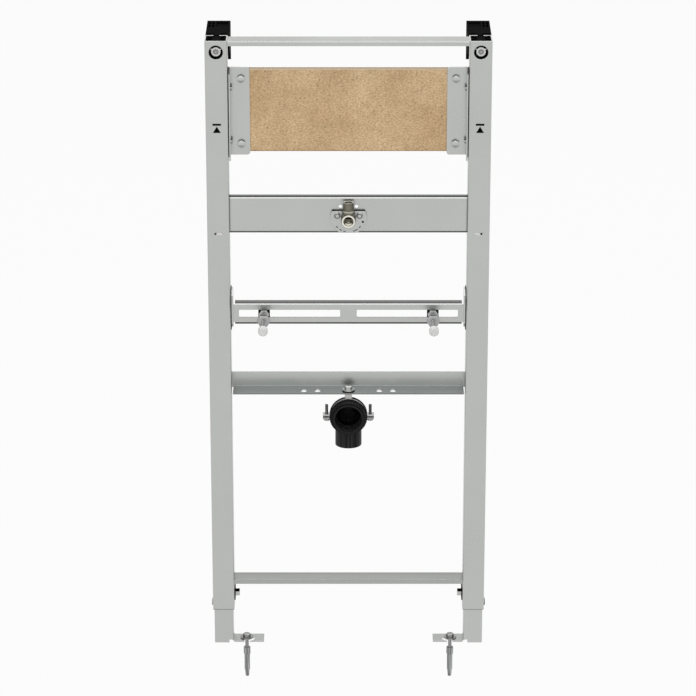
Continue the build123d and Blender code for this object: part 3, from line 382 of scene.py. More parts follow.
    def bump(self, source, depth, strength=1.0):
        """Relief of a depth in metres."""
        made = self.tree.nodes.new("ShaderNodeBump")
        made.inputs["Distance"].default_value = depth
        made.inputs["Strength"].default_value = strength
        self.join(source, made.inputs["Height"])
        if self.normal is not None:
            self.join(self.normal, made.inputs["Normal"])
        self.normal = made.outputs["Normal"]
        self.join(self.normal, self.shader.inputs["Normal"])


def steel_coat(name, share=None, edge=0.7 * MM, dark=None, dull_top=False):
    """Grey metallic coat with a faint orange peel. share gives the painted shade: the tone that level faces
    and undersides keep, and the slope of a bend; dark is a place of painted shade and the tone kept there;
    dull_top dulls the level faces."""
    made = Finish(name, (0.52, 0.53, 0.51), roughness=0.3, metallic=coat_metallic)
    cloud = made.noise(7.0, detail=3.0)
    grain = made.noise(1600.0)
    tone = made.ramp(cloud, (0.3, (0.508, 0.52, 0.503)), (0.7, (0.532, 0.543, 0.525)))
    tone = made.mixed(tone, made.ramp(grain, (0.3, 0.96), (0.7, 1.0)))
    # Painted shade: level faces and undersides keep only a share of the tone, by the way they face
    if share:
        top, under, steep = share
        slope_shade = made.ramp(
            made.slope(), (0.42, under), (0.48, 1.0), (steep, 1.0), (steep + bend_fade, top)
        )
        tone = made.mixed(tone, slope_shade)
    if dark:
        place, kept = dark
        tone = made.mixed(tone, made.ramp(place(made), (0.0, 1.0), (1.0, kept)))
    made.paint(tone)
    if dull_top:
        shine = made.ramp(made.slope(), (0.75, coat_metallic), (0.85, 0.0))
        made.join(shine, made.shader.inputs["Metallic"])
        made.shader.inputs["Specular IOR Level"].default_value = 0.0
    made.rough(cloud, 0.26, 0.34)
    made.soft_edges(edge)
    made.bump(made.noise(420.0), 0.02 * MM)
    return made.material


def inlet_rail_shade(made):
    """Painted shade on the inlet rail's two ends, and on its face behind the plate, which shows through the
    plate's pilot hole.
    """
    low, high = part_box("inlet_rail")
    top = mouth.z + plate_hollow_top
    dark = made.near(mouth, "Y", plate_hollow_r - 0.5 * MM, plate_hollow_r + 0.5 * MM)
    dark = made.both(dark, made.along("Y", low.y + 0.6 * MM, low.y + 0.3 * MM))
    dark = made.both(dark, made.along("Z", top + 0.5 * MM, top - 0.5 * MM))
    for end, inside in ((low.x, rail_end), (high.x, -rail_end)):
        line = made.along("X", end + 1.3 * inside, end + inside)
        dark = made.both(dark, made.ramp(line, (0.0, 0.0), (1.0, rail_end_shade)), how="MAXIMUM")
    return dark


def rail_lip_shade(made):
    """Painted shade on the front lip of the bottom rail, and on its upper side towards the back."""
    low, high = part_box("bottom_rail")
    lip = made.along("Y", low.y + 1.4 * MM, low.y + 0.6 * MM)
    return made.both(lip, made.along("Y", (low.y + high.y) / 2, high.y), how="MAXIMUM")


def plate_shade(made):
    """Painted shade on the rim of the inlet plate, round its pilot hole, and in the short dark dashes round
    its lower edge.
    """
    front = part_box("inlet_plate")[0].y
    rim = made.along("Y", front + 0.4 * MM, front + 1.0 * MM)
    dark = made.ramp(rim, (0.0, 0.0), (1.0, plate_side_shade))
    dots = [(pilot_turn, pilot_reach, pilot_r)]
    for turn in dash_turns:
        dots += [(turn + shift, dash_reach, dash_r) for shift in (-dash_half, dash_half)]
    for turn, reach, radius in dots:
        angle = math.radians(turn)
        place = mouth + reach * Vector((math.cos(angle), 0.0, math.sin(angle)))
        dark = made.both(dark, made.near(place, "Y", radius, radius + 0.4 * MM), how="MAXIMUM")
    return dark


def post_foot_shade(made):
    """Painted shade at the lower end of each post, where the foot slides in."""
    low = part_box("left_post")[0].z
    return made.along("Z", low + 1.3 * MM, low + 0.7 * MM)


def shelf_edge_shade(made):
    """Painted shade on the cut edge in front of the waste rail's shelf."""
    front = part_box("waste_rail")[0].y
    return made.along("Y", front + 0.7 * MM, front + 0.3 * MM)


def zinc(name, share, tone=1.0):
    """Zinc plate with a faint bluish drift and fine scratches; painted shade makes its upper faces and
    undersides darker.
    """
    made = Finish(name, (0.3, 0.3, 0.3), roughness=0.3, metallic=1.0)
    drift = made.noise(160.0, detail=3.0)
    scratch = made.noise(900.0, detail=3.0, place=made.stretched((0.2, 1.0, 1.0)))
    pale = tuple(tone * value for value in (0.4, 0.4, 0.385))
    deep = tuple(tone * value for value in (0.3, 0.305, 0.315))
    plate = made.ramp(drift, (0.3, deep), (0.7, pale))
    plate = made.mixed(plate, made.ramp(scratch, (0.3, 0.85), (0.7, 1.0)))
    # Painted shade: upper faces and undersides keep only a share of the tone
    top, under = share
    slope_shade = made.ramp(made.slope(), (0.2, under), (0.45, 1.0), (0.62, 1.0), (0.85, top))
    made.paint(made.mixed(plate, slope_shade))
    made.rough(scratch, 0.24, 0.4)
    made.soft_edges(0.35 * MM)
    return made.material


def screw_zinc():
    """The setting screws of the arms: a pale washer under a darker head with a paler recess."""
    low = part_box("arm_screws")[0]
    made = Finish("screw_zinc", (0.6, 0.6, 0.59), roughness=0.32, metallic=1.0)
    drift = made.noise(200.0, detail=3.0)
    washer = made.ramp(drift, (0.3, (0.84, 0.845, 0.84)), (0.7, (0.93, 0.93, 0.92)))
    head = made.ramp(drift, (0.3, (0.2, 0.2, 0.2)), (0.7, (0.3, 0.3, 0.3)))
    for box in solids("arm_screws"):
        recess = made.near(middle(box), "Y", recess_r, recess_r + 0.4 * MM)
        pale = made.ramp(recess, (0.0, 0.0), (1.0, recess_pale))
        head = made.mixed(head, washer, how="MIX", share=pale)
    front = low.y + washer_front
    in_front = made.along("Y", front + 0.1 * MM, front - 0.1 * MM)
    made.paint(made.mixed(washer, head, how="MIX", share=in_front))
    made.rough(drift, 0.26, 0.4)
    made.soft_edges(0.3 * MM)
    return made.material


def ringed_zinc():
    """The screws of the inlet plate: a pale middle in a ring of painted shade."""
    made = Finish("ringed_zinc", (0.4, 0.4, 0.4), roughness=0.3, metallic=1.0)
    drift = made.noise(300.0, detail=3.0)
    tone = made.ramp(drift, (0.3, (0.44, 0.445, 0.45)), (0.7, (0.6, 0.6, 0.59)))
    # Painted shade: a dark ring round each screw's middle
    for box in solids("inlet_screws"):
        ring = made.near(middle(box), "Y", screw_ring_r, screw_ring_r + 0.6 * MM)
        ring = made.both(ring, made.near(middle(box), "Y", screw_middle_r + 0.6 * MM, screw_middle_r))
        tone = made.mixed(tone, made.ramp(ring, (0.0, 1.0), (1.0, screw_ring_shade)))
    made.paint(tone)
    made.rough(drift, 0.24, 0.38)
    made.soft_edges(0.3 * MM)
    return made.material


def moulding(name, colour, roughness, grain, specular=0.4):
    """Moulded plastic with a fine spark-eroded grain."""
    made = Finish(name, colour, roughness=roughness, specular=specular)
    cloud = made.noise(60.0, detail=3.0)
    light = tuple(min(0.95, 1.18 * value) for value in colour)
    dark = tuple(0.86 * value for value in colour)
    made.paint(made.ramp(cloud, (0.3, dark), (0.7, light)))
    made.rough(cloud, roughness - 0.06, roughness + 0.06)
    made.soft_edges(0.4 * MM)
    made.bump(made.noise(grain, detail=3.0), 0.04 * MM, strength=0.7)
    return made.material


def board_wood():
    """Pressed wood board: blotched pale and brown fibres with slivers, and a sawn top painted paler as painted
    light, with painted shade towards the back.
    """
    made = Finish("board_wood", (0.7, 0.5, 0.3), roughness=0.72, specular=0.25)
    fibre = made.noise(430.0, detail=5.0, place=made.stretched((0.6, 1.0, 1.0), turn=12.0))
    blotch = made.noise(55.0, detail=7.0)
    cloud = made.noise(9.0, detail=3.0)
    base = made.ramp(
        fibre,
        (0.30, (0.645, 0.427, 0.224)),
        (0.50, (0.84, 0.605, 0.352)),
        (0.68, (0.98, 0.765, 0.488)),
    )
    stains = made.ramp(blotch, (0.36, (0.93, 0.91, 0.89)), (0.5, (0.98, 0.97, 0.96)), (0.62, 1.0))
    shades = made.ramp(cloud, (0.38, (0.84, 0.8, 0.76)), (0.62, 1.0))
    face = made.mixed(made.mixed(base, stains), shades)
    pale = made.ramp(blotch, (0.3, (0.9, 0.7, 0.44)), (0.7, (0.98, 0.82, 0.58)))
    dark = made.ramp(blotch, (0.3, (0.1, 0.06, 0.03)), (0.7, (0.24, 0.145, 0.07)))
    for turn, scale, colour, start in sliver_sets:
        sliver = made.noise(scale, detail=1.5, place=made.stretched((0.2, 1.0, 1.0), turn=turn))
        share = made.ramp(sliver, (start, 0.0), (start + sliver_rise, sliver_strength[colour]))
        face = made.mixed(face, pale if colour == "pale" else dark, how="MIX", share=share)
    low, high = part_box("mounting_board")
    line = made.along("Z", low.z + 1.3 * board_line, low.z + board_line)
    face = made.mixed(face, made.ramp(line, (0.0, 1.0), (1.0, (0.66, 0.58, 0.5))))
    # Painted light: upward faces take a paler tone, with painted shade towards the back
    lit_top = made.ramp(fibre, (0.3, (0.82, 0.63, 0.43)), (0.66, (1.0, 0.82, 0.6)))
    back = made.along("Y", 0.6 * low.y + 0.4 * high.y, 0.4 * low.y + 0.6 * high.y)
    lit_top = made.mixed(lit_top, made.ramp(back, (0.0, 1.0), (1.0, (0.74, 0.71, 0.68))))
    lit_top_share = made.ramp(made.slope(), (0.8, 0.0), (0.95, 1.0))
    made.paint(made.mixed(face, lit_top, how="MIX", share=lit_top_share))
    made.soft_edges(0.5 * MM)
    made.bump(fibre, 0.12 * MM, strength=0.5)
    return made.material


def elbow_nickel():
    """Warm nickel plate on a cast brass body, with painted highlights on the mouth's front ring, the socket's
    rim, the collar and the lower wall of the mouth, and painted shade in the bores.
    """
    made = Finish("elbow_nickel", (0.17, 0.16, 0.13), roughness=0.26, metallic=1.0)
    drift = made.noise(120.0, detail=3.0)
    cast = made.ramp(drift, (0.3, (0.14, 0.132, 0.104)), (0.7, (0.215, 0.203, 0.165)))
    # Painted highlight: this pale tone stands for light on the mouth's front ring, the back of the socket's
    # rim, the collar and the lower wall of the mouth
    turned = made.ramp(drift, (0.3, (0.74, 0.72, 0.64)), (0.7, (0.86, 0.84, 0.76)))
    # Painted shade: the socket's bore is near black and the mouth's upper bore wall darker
    depth = made.ramp(drift, (0.3, (0.012, 0.011, 0.008)), (0.7, (0.02, 0.018, 0.013)))
    inside = made.ramp(drift, (0.3, (0.1, 0.094, 0.072)), (0.7, (0.16, 0.15, 0.118)))
    ring = made.near(mouth, "Y", mouth_ring_r - 0.3 * MM, mouth_ring_r + 0.3 * MM)
    ring = made.both(ring, made.along("Y", mouth.y + 2.4 * MM, mouth.y + 1.6 * MM))
    tone = made.mixed(cast, turned, how="MIX", share=ring)
    rim = made.along("Z", socket.z - 0.5 * MM, socket.z - 0.2 * MM)
    rim = made.both(rim, made.along("Y", socket.y - 1.0 * MM, socket.y + 2.0 * MM))
    tone = made.mixed(tone, turned, how="MIX", share=rim)
    low, high = mouth.z + collar_low, mouth.z + collar_high
    collar = made.both(made.along("Z", low - 0.3 * MM, low), made.along("Z", high + 0.3 * MM, high))
    tone = made.mixed(tone, turned, how="MIX", share=made.ramp(collar, (0.0, 0.0), (1.0, collar_highlight)))
    bore = made.near(mouth, "Y", mouth_r - 0.1 * MM, mouth_r + 0.2 * MM)
    bore = made.both(bore, made.along("Y", mouth.y + 1.0 * MM, mouth.y + 2.0 * MM))
    below = made.along("Z", mouth.z - mouth_shade_high, mouth.z - mouth_shade_low)
    wall = made.mixed(inside, turned, how="MIX", share=below)
    tone = made.mixed(tone, wall, how="MIX", share=bore)
    bore = made.near(socket, "Z", socket_r - 0.1 * MM, socket_r + 0.2 * MM)
    bore = made.both(bore, made.along("Z", mouth.z + mouth_r, mouth.z + mouth_r + 1.0 * MM))
    made.paint(made.mixed(tone, depth, how="MIX", share=bore))
    made.rough(drift, 0.2, 0.34)
    made.soft_edges(0.5 * MM)
    made.bump(made.noise(700.0), 0.05 * MM, strength=0.5)
    return made.material


def thread_nickel(name, pale, deep, metallic=1.0, shaded=False):
    """Nickel plate on the elbow's threads; the thread in the mouth has painted shade above the middle."""
    made = Finish(name, pale, roughness=0.3, metallic=metallic)
    drift = made.noise(300.0, detail=3.0)
    tone = made.ramp(drift, (0.3, deep), (0.7, pale))
    if shaded:
        above = made.along("Z", mouth.z - mouth_shade_low, mouth.z - mouth_shade_high)
        tone = made.mixed(tone, made.ramp(above, (0.0, 1.0), (1.0, mouth_shade_share)))
    made.paint(tone)
    made.rough(drift, 0.22, 0.36)
    return made.material


def pipe_plastic():
    """Black pipe with faint streaks along it, with painted shade in its bore and at the lip's edge."""
    made = Finish("pipe_plastic", (0.012, 0.012, 0.012), roughness=0.42, specular=0.12)
    streak = made.noise(240.0, detail=3.0, place=made.stretched((1.0, 1.0, 0.03)))
    tone = made.ramp(streak, (0.4, (0.005, 0.005, 0.0052)), (0.6, (0.034, 0.034, 0.0342)))
    centre = Vector(mounts["waste_socket"]["pos_m"])
    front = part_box("waste_bend")[0].y
    edge = made.near(centre, "Y", lip_edge_r + 0.3 * MM, lip_edge_r - 0.3 * MM)
    edge = made.both(edge, made.along("Y", front + 6.0 * MM, front + 5.0 * MM))
    bore = made.near(centre, "Y", pipe_bore_r - 0.3 * MM, pipe_bore_r + 0.3 * MM)
    bore = made.both(bore, made.along("Z", centre.z - pipe_bore_r - 2.0 * MM, centre.z - pipe_bore_r))
    dark = made.both(edge, bore, how="MAXIMUM")
    made.paint(made.mixed(tone, made.ramp(dark, (0.0, 1.0), (1.0, pipe_shade_share))))
    made.rough(streak, 0.36, 0.5)
    made.soft_edges(0.4 * MM)
    return made.material


def plug_plastic():
    """Grey nylon of the floor plugs, with pale and dark ribs along it."""
    made = Finish("plug_plastic", (0.4, 0.4, 0.405), roughness=0.5, specular=0.4)
    rib = made.noise(330.0, detail=1.0, place=made.stretched((1.0, 1.0, 0.03)))
    made.paint(made.ramp(rib, (0.4, (0.24, 0.245, 0.25)), (0.6, (0.62, 0.625, 0.63))))
    made.rough(rib, 0.44, 0.56)
    made.soft_edges(0.4 * MM)
    return made.material


def seal_rubber():
    """Black rubber with a dull bloom."""
    made = Finish("seal_rubber", (0.014, 0.014, 0.014), roughness=0.75, specular=0.18)
    bloom = made.noise(90.0, detail=4.0)
    made.paint(made.ramp(bloom, (0.3, 0.009), (0.7, 0.02)))
    made.rough(bloom, 0.65, 0.85)
    made.bump(made.noise(1200.0), 0.04 * MM)
    return made.material


def black_ink():
    """Pad-printed black ink, a little thin in places."""
    made = Finish("black_ink", (0.003, 0.003, 0.003), roughness=0.6, specular=0.0)
    thin = made.noise(900.0, detail=3.0)
    made.paint(made.ramp(thin, (0.35, 0.002), (0.75, 0.006)))
    made.rough(thin, 0.45, 0.6)
    return made.material


mounts = {row["name"]: row for row in frame["record"]["mounts"]}
socket = Vector(mounts["inlet_pipe_socket"]["pos_m"])
mouth = Vector(mounts["inlet_mouth"]["pos_m"])

# Places of painted shade on the steel, each with the share of its tone that it keeps
painted_shade_places = {
    "inlet_rail": (inlet_rail_shade, hollow_shade_share),
    "inlet_plate": (plate_shade, hollow_shade_share),
    "waste_rail": (shelf_edge_shade, shelf_edge_shade_share),
    "bottom_rail": (rail_lip_shade, rail_lip_shade_share),
    "left_post": (post_foot_shade, post_foot_shade_share),
    "right_post": (post_foot_shade, post_foot_shade_share),
}
bolt_coat = steel_coat("bolt_coat", share=bolt_shade_share, edge=0.2 * MM)
node_finishes = {
    node: steel_coat(
        f"{node}_coat",
        coat_shade_share.get(node),
        dark=painted_shade_places.get(node),
        dull_top=node == "inlet_plate",
    )
    for node in {**coat_shade_share, **painted_shade_places}
}
# Zinc parts take copies of the zinc finish whose tone and painted shade are set part by part: lit and shaded
# copies of one plating
node_finishes["clamp_upper"] = zinc("band_zinc", (0.7, 0.45), tone=1.4)
node_finishes["inlet_screws"] = ringed_zinc()
node_finishes["arm_screws"] = screw_zinc()
node_finishes["waste_bend"] = pipe_plastic()
stud_zinc = zinc("stud_zinc", (0.5, 0.4), tone=1.3)
nut_zinc = zinc("nut_zinc", (0.1, 0.4), tone=1.2)
floor_zinc = zinc("floor_zinc", (0.75, 0.45), tone=0.95)
lit_zinc = zinc("lit_zinc", (0.9, 0.4), tone=1.35)
stem_nickel = thread_nickel("stem_nickel", (0.17, 0.16, 0.128), (0.1, 0.095, 0.075))
# The mouth's thread is a pale, less metallic copy of the nickel as painted light, with painted shade above the
# middle
mouth_nickel = thread_nickel(
    "mouth_nickel", (0.8, 0.77, 0.68), (0.66, 0.63, 0.54), metallic=0.25, shaded=True
)
finishes = {
    "frame_coat": steel_coat("frame_coat"),
    "zinc": zinc("zinc", zinc_shade_share),
    "arm_plastic": moulding("arm_plastic", (0.004, 0.004, 0.0042), 0.58, 900.0, specular=0.003),
    "black_plastic": moulding("black_plastic", (0.006, 0.006, 0.0063), 0.45, 1400.0, specular=0.06),
    "white_plastic": moulding("white_plastic", (0.93, 0.93, 0.92), 0.35, 1400.0),
    "plug_plastic": plug_plastic(),
    "board_wood": board_wood(),
    "elbow_nickel": elbow_nickel(),
    "seal_rubber": seal_rubber(),
}
ink = black_ink()

for node, shown in frame["nodes"].items():
    finish = node_finishes.get(node, finishes[slot_of[node]])
    shown.data.materials.clear()
    shown.data.materials.append(finish)


def circle(radius, z, count=ROUND):
    """A ring of points round the Z axis."""
    turn = 2 * math.pi / count
    return [Vector((radius * math.cos(i * turn), radius * math.sin(i * turn), z)) for i in range(count)]


def hexagon(across, z, crown=None, count=ROUND):
    """A hexagonal ring with corners on the X axis; crown tells how far down a cone cuts its corners."""
    turn = 2 * math.pi / count
    points = []
    for i in range(count):
        off_flat = (i * turn) % (math.pi / 3) - math.pi / 6
        radius = across / 2 / math.cos(off_flat)
        height = z
        if crown is not None:
            height = z - math.copysign(max(0.0, (radius - hex_crown * across) * hex_slope), crown)
        points.append(Vector((radius * math.cos(i * turn), radius * math.sin(i * turn), height)))
    return points


def thread(radius, pitch, low, high, depth=thread_depth, count=thread_round):
    """The rings of a screw thread between two heights."""
    steps = max(2, round(4 * (high - low) / pitch))
    turn = 2 * math.pi / count
    rings = []
    for step in range(steps + 1):
        z = low + (high - low) * step / steps
        ring = []
        for i in range(count):
            phase = (z / pitch - i / count) % 1.0
            reach = radius - depth * pitch * abs(2 * phase - 1)
            ring.append(Vector((reach * math.cos(i * turn), reach * math.sin(i * turn), z)))
        rings.append(ring)
    return rings


def loft(shape, rings, capped=True):
    """Adds the skin over a row of rings with equal counts, and its two end caps."""
    rows = [[shape.verts.new(point) for point in ring] for ring in rings]
    for lower, upper in zip(rows, rows[1:]):
        for i in range(len(lower)):
            j = (i + 1) % len(lower)
            shape.faces.new((lower[i], lower[j], upper[j], upper[i]))
    if capped:
        shape.faces.new(list(reversed(rows[0])))
        shape.faces.new(rows[-1])


def hex_block(shape, across, low, high, both=False):
    """Adds a hexagon head whose top corners, or all corners, are cut by a cone."""
    crown_r = hex_crown * across
    rings = [circle(crown_r, low), hexagon(across, low, crown=-1)] if both else [hexagon(across, low)]
    rings += [hexagon(across, high, crown=1), circle(crown_r, high)]
    loft(shape, rings)


def disc(shape, radius, low, high, chamfer=0.25 * MM):
    """Adds a round plate with chamfered edges."""
    loft(
        shape,
        [
            circle(radius - chamfer, low),
            circle(radius, low + chamfer),
            circle(radius, high - chamfer),
            circle(radius - chamfer, high),
        ],
    )


def add(shape, other):
    """Moves another shape into this one."""
    mesh = bpy.data.meshes.new("joined")
    other.to_mesh(mesh)
    other.free()
    shape.from_mesh(mesh)
    bpy.data.meshes.remove(mesh)


def piece(name, shape, body, slot, finish=None, stands_for=(), sharp=35, inward=False):
    """Makes an object of a shape that is already in place, and lets it ride on its body."""
    if not inward:
        bmesh.ops.recalc_face_normals(shape, faces=shape.faces)
    mesh = bpy.data.meshes.new(name)
    shape.to_mesh(mesh)
    shape.free()
    mesh.shade_smooth()
    mesh.set_sharp_from_angle(angle=math.radians(sharp))
    mesh.materials.append(finish or finishes[slot])
    made = bpy.data.objects.new(name, mesh)
    bpy.context.scene.collection.objects.link(made)
    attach(made, body)
    if stands_for:
        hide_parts(*stands_for)
    return made


def facing(centre, axis, spin=0.0):
    """The matrix that puts a shape's Z axis along an axis through a centre, turned about it by spin."""
    tilt = Vector(axis).to_track_quat("Z", "Y").to_matrix().to_4x4()
    return Matrix.Translation(centre) @ tilt @ Matrix.Rotation(math.radians(spin), 4, "Z")


def height_marks():
    """The bar and triangle printed on the front of each post."""
    for side in ("left", "right"):
        low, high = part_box(f"{side}_post")
        x = (low.x + high.x) / 2
        shape = bmesh.new()
        half = mark_bar_width / 2
        bar_low = mark_bar_z - mark_bar_height / 2
        bar_high = mark_bar_z + mark_bar_height / 2
        bar = [(-half, bar_low), (half, bar_low), (half, bar_high), (-half, bar_high)]
        base = mark_triangle_base / 2
        triangle = [(-base, mark_triangle_low), (base, mark_triangle_low), (0.0, mark_triangle_high)]
        for outline in (bar, triangle):
            back = [Vector((x + across, low.y + mark_ink / 4, z)) for across, z in outline]
            front = [Vector((x + across, low.y - mark_ink, z)) for across, z in outline]
            loft(shape, [back, front])
        piece(f"{side}_height_mark", shape, "frame", "black_plastic", finish=ink)


def index_dots():
    """The black dot at the outer end of each index clip."""
    for side, (low, high) in zip(("left", "right"), solids("index_clips")):
        x = low.x + dot_inset if side == "left" else high.x - dot_inset
        shape = bmesh.new()
        crown = circle(0.8 * dot_r, 1.3 * dot_height)
        loft(shape, [circle(dot_r, -dot_height), circle(dot_r, dot_height), crown])
        shape.transform(facing(Vector((x, low.y, (low.z + high.z) / 2)), (0, -1, 0)))
        piece(f"{side}_index_dot", shape, "frame", "black_plastic", finish=ink)


def studs():
    """The threaded studs for the bowl."""
    for side, box in zip(("left", "right"), solids("studs")):
        shape = bmesh.new()
        radius = (box[1].x - box[0].x) / 2
        half = (box[1].y - box[0].y) / 2
        loft(shape, thread(radius, stud_pitch, -half, half))
        shape.transform(facing(middle(box), (0, -1, 0)))
        piece(
            f"{side}_threaded_stud",
            shape,
            "frame",
            "zinc",
            finish=stud_zinc,
            stands_for=("studs",),
            sharp=60,
        )


def stud_nuts():
    """The chamfered nuts on the studs."""
    shape = bmesh.new()
    for box in solids("stud_nuts"):
        nut = bmesh.new()
        across = box[1].z - box[0].z
        half = (box[1].y - box[0].y) / 2
        hex_block(nut, across, -half, half, both=True)
        nut.transform(facing(middle(box), (0, -1, 0)))
        add(shape, nut)
    piece("chamfered_stud_nuts", shape, "frame", "zinc", finish=nut_zinc, stands_for=("stud_nuts",))


def board_bolts():
    """The bolts that hold the board: coated heads in front, zinc nuts and threaded ends behind."""
    heads = bmesh.new()
    tails = bmesh.new()
    for box in solids("board_bolts"):
        centre = middle(box)
        front = Vector((centre.x, box[0].y, centre.z))
        back = Vector((centre.x, box[1].y, centre.z))
        head = bmesh.new()
        hex_block(head, bolt_across, -board_head_height, 0.0)
        head.transform(facing(front, (0, -1, 0), spin=90))
        add(heads, head)
        board_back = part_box("mounting_board")[1].y
        length = back.y - board_back
        tail = bmesh.new()
        hex_block(tail, bolt_across, -length, board_nut_height - length, both=True)
        loft(tail, thread(bolt_r, bolt_pitch, -2 * length, 0.0))
        tail.transform(facing(back, (0, 1, 0), spin=90))
        add(tails, tail)
    piece("board_bolt_heads", heads, "frame", "zinc", finish=bolt_coat, stands_for=("board_bolts",))
    piece("board_bolt_nuts", tails, "frame", "zinc", stands_for=("board_bolts",))


def clamp_screws():
    """The two screws that close the pipe clamp, with threaded ends that stand up beside the pipe."""
    shape = bmesh.new()
    for box in solids("clamp_screws"):
        centre = middle(box)
        screw = bmesh.new()
        length = box[1].z - box[0].z
        hex_block(screw, clamp_head_across, -length, clamp_head_height - length, both=True)
        loft(screw, thread(clamp_screw_r, small_pitch, clamp_head_height - length, 0.0))
        screw.transform(Matrix.Translation((centre.x, centre.y, box[1].z)))
        add(shape, screw)
    piece("threaded_clamp_screws", shape, "frame", "zinc", stands_for=("clamp_screws",))


def hanger_bolt():
    """The bolt that hangs the pipe clamp from the rail's shelf."""
    low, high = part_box("hanger_bolt")
    centre = (low + high) / 2
    washer_top = high.z - board_head_height
    shape = bmesh.new()
    hex_block(shape, bolt_across, washer_top, high.z)
    disc(shape, (high.x - low.x) / 2, washer_top - hanger_washer_height, washer_top)
    loft(shape, thread(bolt_r, bolt_pitch, low.z, washer_top - hanger_washer_height))
    shape.transform(Matrix.Translation((centre.x, centre.y, 0)))
    piece("threaded_hanger_bolt", shape, "frame", "zinc", finish=lit_zinc, stands_for=("hanger_bolt",))


def lock_bolts():
    """The bolts that lock the feet in the posts."""
    shape = bmesh.new()
    for box in solids("lock_bolts"):
        centre = middle(box)
        inward = -math.copysign(1, centre.x)
        tip = box[0].x if inward < 0 else box[1].x
        bolt = bmesh.new()
        hex_block(bolt, bolt_across, -lock_head_height, 0.0)
        loft(bolt, thread(bolt_r, bolt_pitch, box[0].x - box[1].x, -lock_head_height))
        bolt.transform(facing(Vector((tip, centre.y, centre.z)), (inward, 0, 0), spin=lock_spin))
        add(shape, bolt)
    piece("lock_bolt_heads", shape, "frame", "zinc", finish=bolt_coat, stands_for=("lock_bolts",))


def floor_screws():
    """The screws that hold each foot to the floor, with their washers."""
    for side in ("left", "right"):
        low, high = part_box(f"{side}_floor_screw")
        centre = (low + high) / 2
        washer_top = high.z - floor_head_height
        washer_low = washer_top - floor_washer_height
        shape = bmesh.new()
        hex_block(shape, bolt_across, washer_top, high.z)
        disc(shape, (high.x - low.x) / 2, washer_low, washer_top)
        loft(shape, thread(floor_screw_r, floor_pitch, low.z, washer_low, depth=floor_thread_depth))
        shape.transform(Matrix.Translation((centre.x, centre.y, 0)))
        piece(
            f"{side}_threaded_floor_screw",
            shape,
            f"{side}_leg",
            "zinc",
            finish=floor_zinc,
            stands_for=(f"{side}_floor_screw",),
        )


def elbow_threads():
    """The pipe threads round the elbow's stem and inside its mouth."""
    shape = bmesh.new()
    low, high = -stem_thread_low, -stem_thread_high
    rings = thread(stem_r + stem_thread_proud, pipe_pitch, low, high, depth=stem_thread_depth)
    loft(shape, [circle(stem_r, low, thread_round), *rings, circle(stem_r, high, thread_round)])
    shape.transform(Matrix.Translation(socket))
    piece("inlet_stem_thread", shape, "frame", "elbow_nickel", finish=stem_nickel, sharp=60)
    shape = bmesh.new()
    rings = thread(mouth_r, pipe_pitch, -mouth_thread_length, 0.0, depth=mouth_thread_depth)
    loft(shape, rings, capped=False)
    bmesh.ops.reverse_faces(shape, faces=shape.faces)
    shape.transform(facing(mouth, (0, -1, 0)))
    piece("inlet_mouth_thread", shape, "frame", "elbow_nickel", finish=mouth_nickel, sharp=60, inward=True)


def weld(shape, start, end):
    """Adds a rippled weld bead from one point to another."""
    along = end - start
    steps = max(4, round(2 * along.length / weld_step))
    rings = []
    for step in range(steps + 1):
        share = step / steps
        swell = math.sin(math.pi * min(1.0, weld_taper * share, weld_taper * (1 - share)) / 2)
        ripple = 1 + weld_wave * (step % 2)
        rings.append(circle(weld_r * max(0.15, swell) * ripple, share * along.length, weld_round))
    bead = bmesh.new()
    loft(bead, rings)
    bead.transform(facing(start, along))
    add(shape, bead)


def weld_beads():
    """The welds behind and under the rails, where they meet the posts."""
    shape = bmesh.new()
    for rail in ("top_rail", "bottom_rail"):
        low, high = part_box(rail)
        for x in (low.x, high.x):
            weld(shape, Vector((x, weld_reach * low.y, low.z)), Vector((x, weld_reach * high.y, low.z)))
    inlet_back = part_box("inlet_rail")[0].y + rail_wall
    waste_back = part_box("waste_rail")[1].y
    for rail, y in (("inlet_rail", inlet_back), ("waste_rail", waste_back)):
        low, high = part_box(rail)
        inset = weld_inset * (high.z - low.z)
        for x in (low.x, high.x):
            weld(shape, Vector((x, y, low.z + inset)), Vector((x, y, high.z - inset)))
    piece("weld_beads", shape, "frame", "frame_coat", sharp=80)


def white_to(nodes, links):
    """1 for the rays that see the white background: camera, glossy and transmission rays."""
    path = nodes.new("ShaderNodeLightPath")
    total = path.outputs["Is Camera Ray"]
    for kind in ("Is Glossy Ray", "Is Transmission Ray"):
        either = nodes.new("ShaderNodeMath")
        either.operation = "MAXIMUM"
        links.new(total, either.inputs[0])
        links.new(path.outputs[kind], either.inputs[1])
        total = either.outputs["Value"]
    return total


def choose(nodes, links, share, plain, white, output):
    """Sends a plain shader to an output, or a white one for the share of rays that see the background."""
    choice = nodes.new("ShaderNodeMixShader")
    links.new(share, choice.inputs["Fac"])
    links.new(plain, choice.inputs[1])
    links.new(white, choice.inputs[2])
    links.new(choice.outputs["Shader"], nodes[output].inputs["Surface"])


def studio_world():
    """World that is white to the camera and in reflections, and dim to everything else."""
    world = bpy.data.worlds.new("studio")
    world.use_nodes = True
    bpy.context.scene.world = world
    nodes, links = world.node_tree.nodes, world.node_tree.links
    fill = nodes["Background"]
    fill.inputs["Color"].default_value = (1, 1, 1, 1)
    fill.inputs["Strength"].default_value = world_fill
    white = nodes.new("ShaderNodeBackground")
    white.inputs["Color"].default_value = (1, 1, 1, 1)
    white.inputs["Strength"].default_value = 1.0
    shares = fill.outputs["Background"], white.outputs["Background"]
    choose(nodes, links, white_to(nodes, links), *shares, "World Output")


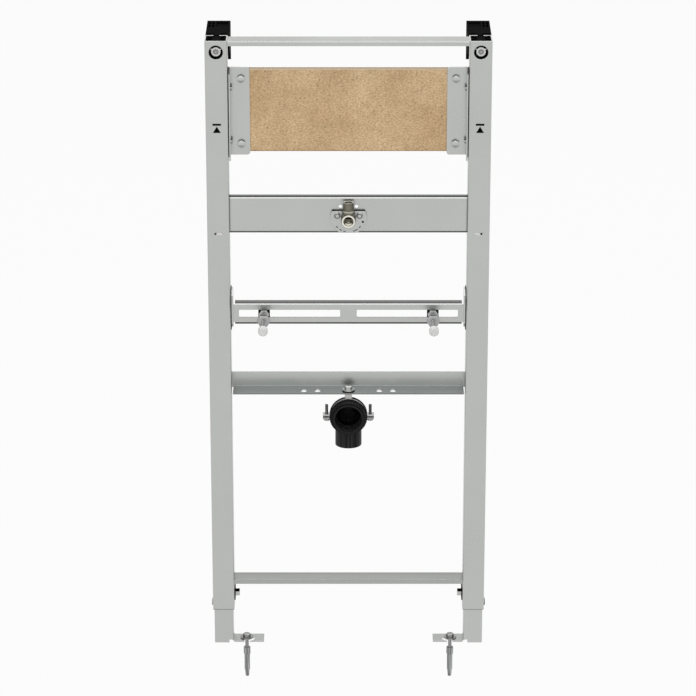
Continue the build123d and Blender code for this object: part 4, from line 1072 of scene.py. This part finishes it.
def floor_finish():
    """Pale floor, nearly white to the camera and in reflections, that keeps a little of the shadow."""
    material = bpy.data.materials.new("pale_floor")
    material.use_nodes = True
    nodes, links = material.node_tree.nodes, material.node_tree.links
    part = nodes.new("ShaderNodeMath")
    part.operation = "MULTIPLY"
    part.inputs[1].default_value = floor_white
    links.new(white_to(nodes, links), part.inputs[0])
    matt = nodes["Principled BSDF"]
    matt.inputs["Base Color"].default_value = (0.8, 0.8, 0.79, 1)
    matt.inputs["Roughness"].default_value = 0.9
    glow = nodes.new("ShaderNodeEmission")
    glow.inputs["Strength"].default_value = 1.0
    shares = matt.outputs["BSDF"], glow.outputs["Emission"]
    choose(nodes, links, part.outputs["Value"], *shares, "Material Output")
    return material


def pale_floor():
    """A wide floor under the object."""
    shape = bmesh.new()
    bmesh.ops.create_grid(shape, x_segments=1, y_segments=1, size=floor_reach)
    mesh = bpy.data.meshes.new("floor")
    shape.to_mesh(mesh)
    shape.free()
    mesh.materials.append(floor_finish())
    floor = bpy.data.objects.new("floor", mesh)
    floor.location = (0, 0, cad_low.z - floor_drop)
    bpy.context.scene.collection.objects.link(floor)


def light_up():
    """The soft lamps in front, behind and overhead."""
    for name, lamp in lamps.items():
        data = bpy.data.lights.new(name, "AREA")
        data.shape = "RECTANGLE"
        data.size, data.size_y = lamp["size"]
        data.energy = lamp["watts"]
        made = bpy.data.objects.new(name, data)
        made.location = lamp["place"]
        made.rotation_euler = (lamp_aim - lamp["place"]).to_track_quat("-Z", "Y").to_euler()
        bpy.context.scene.collection.objects.link(made)


def place_camera():
    """The camera at the photograph's place and tilt."""
    data = bpy.data.cameras.new("camera")
    data.lens = camera_lens
    made = bpy.data.objects.new("camera", data)
    made.location = camera_place
    made.rotation_euler = (math.pi / 2 - camera_pitch, 0, 0)
    bpy.context.scene.collection.objects.link(made)
    bpy.context.scene.camera = made


height_marks()
index_dots()
studs()
stud_nuts()
board_bolts()
clamp_screws()
hanger_bolt()
lock_bolts()
floor_screws()
elbow_threads()
weld_beads()
studio_world()
pale_floor()
light_up()
place_camera()
bpy.context.scene.view_settings.view_transform = "Standard"
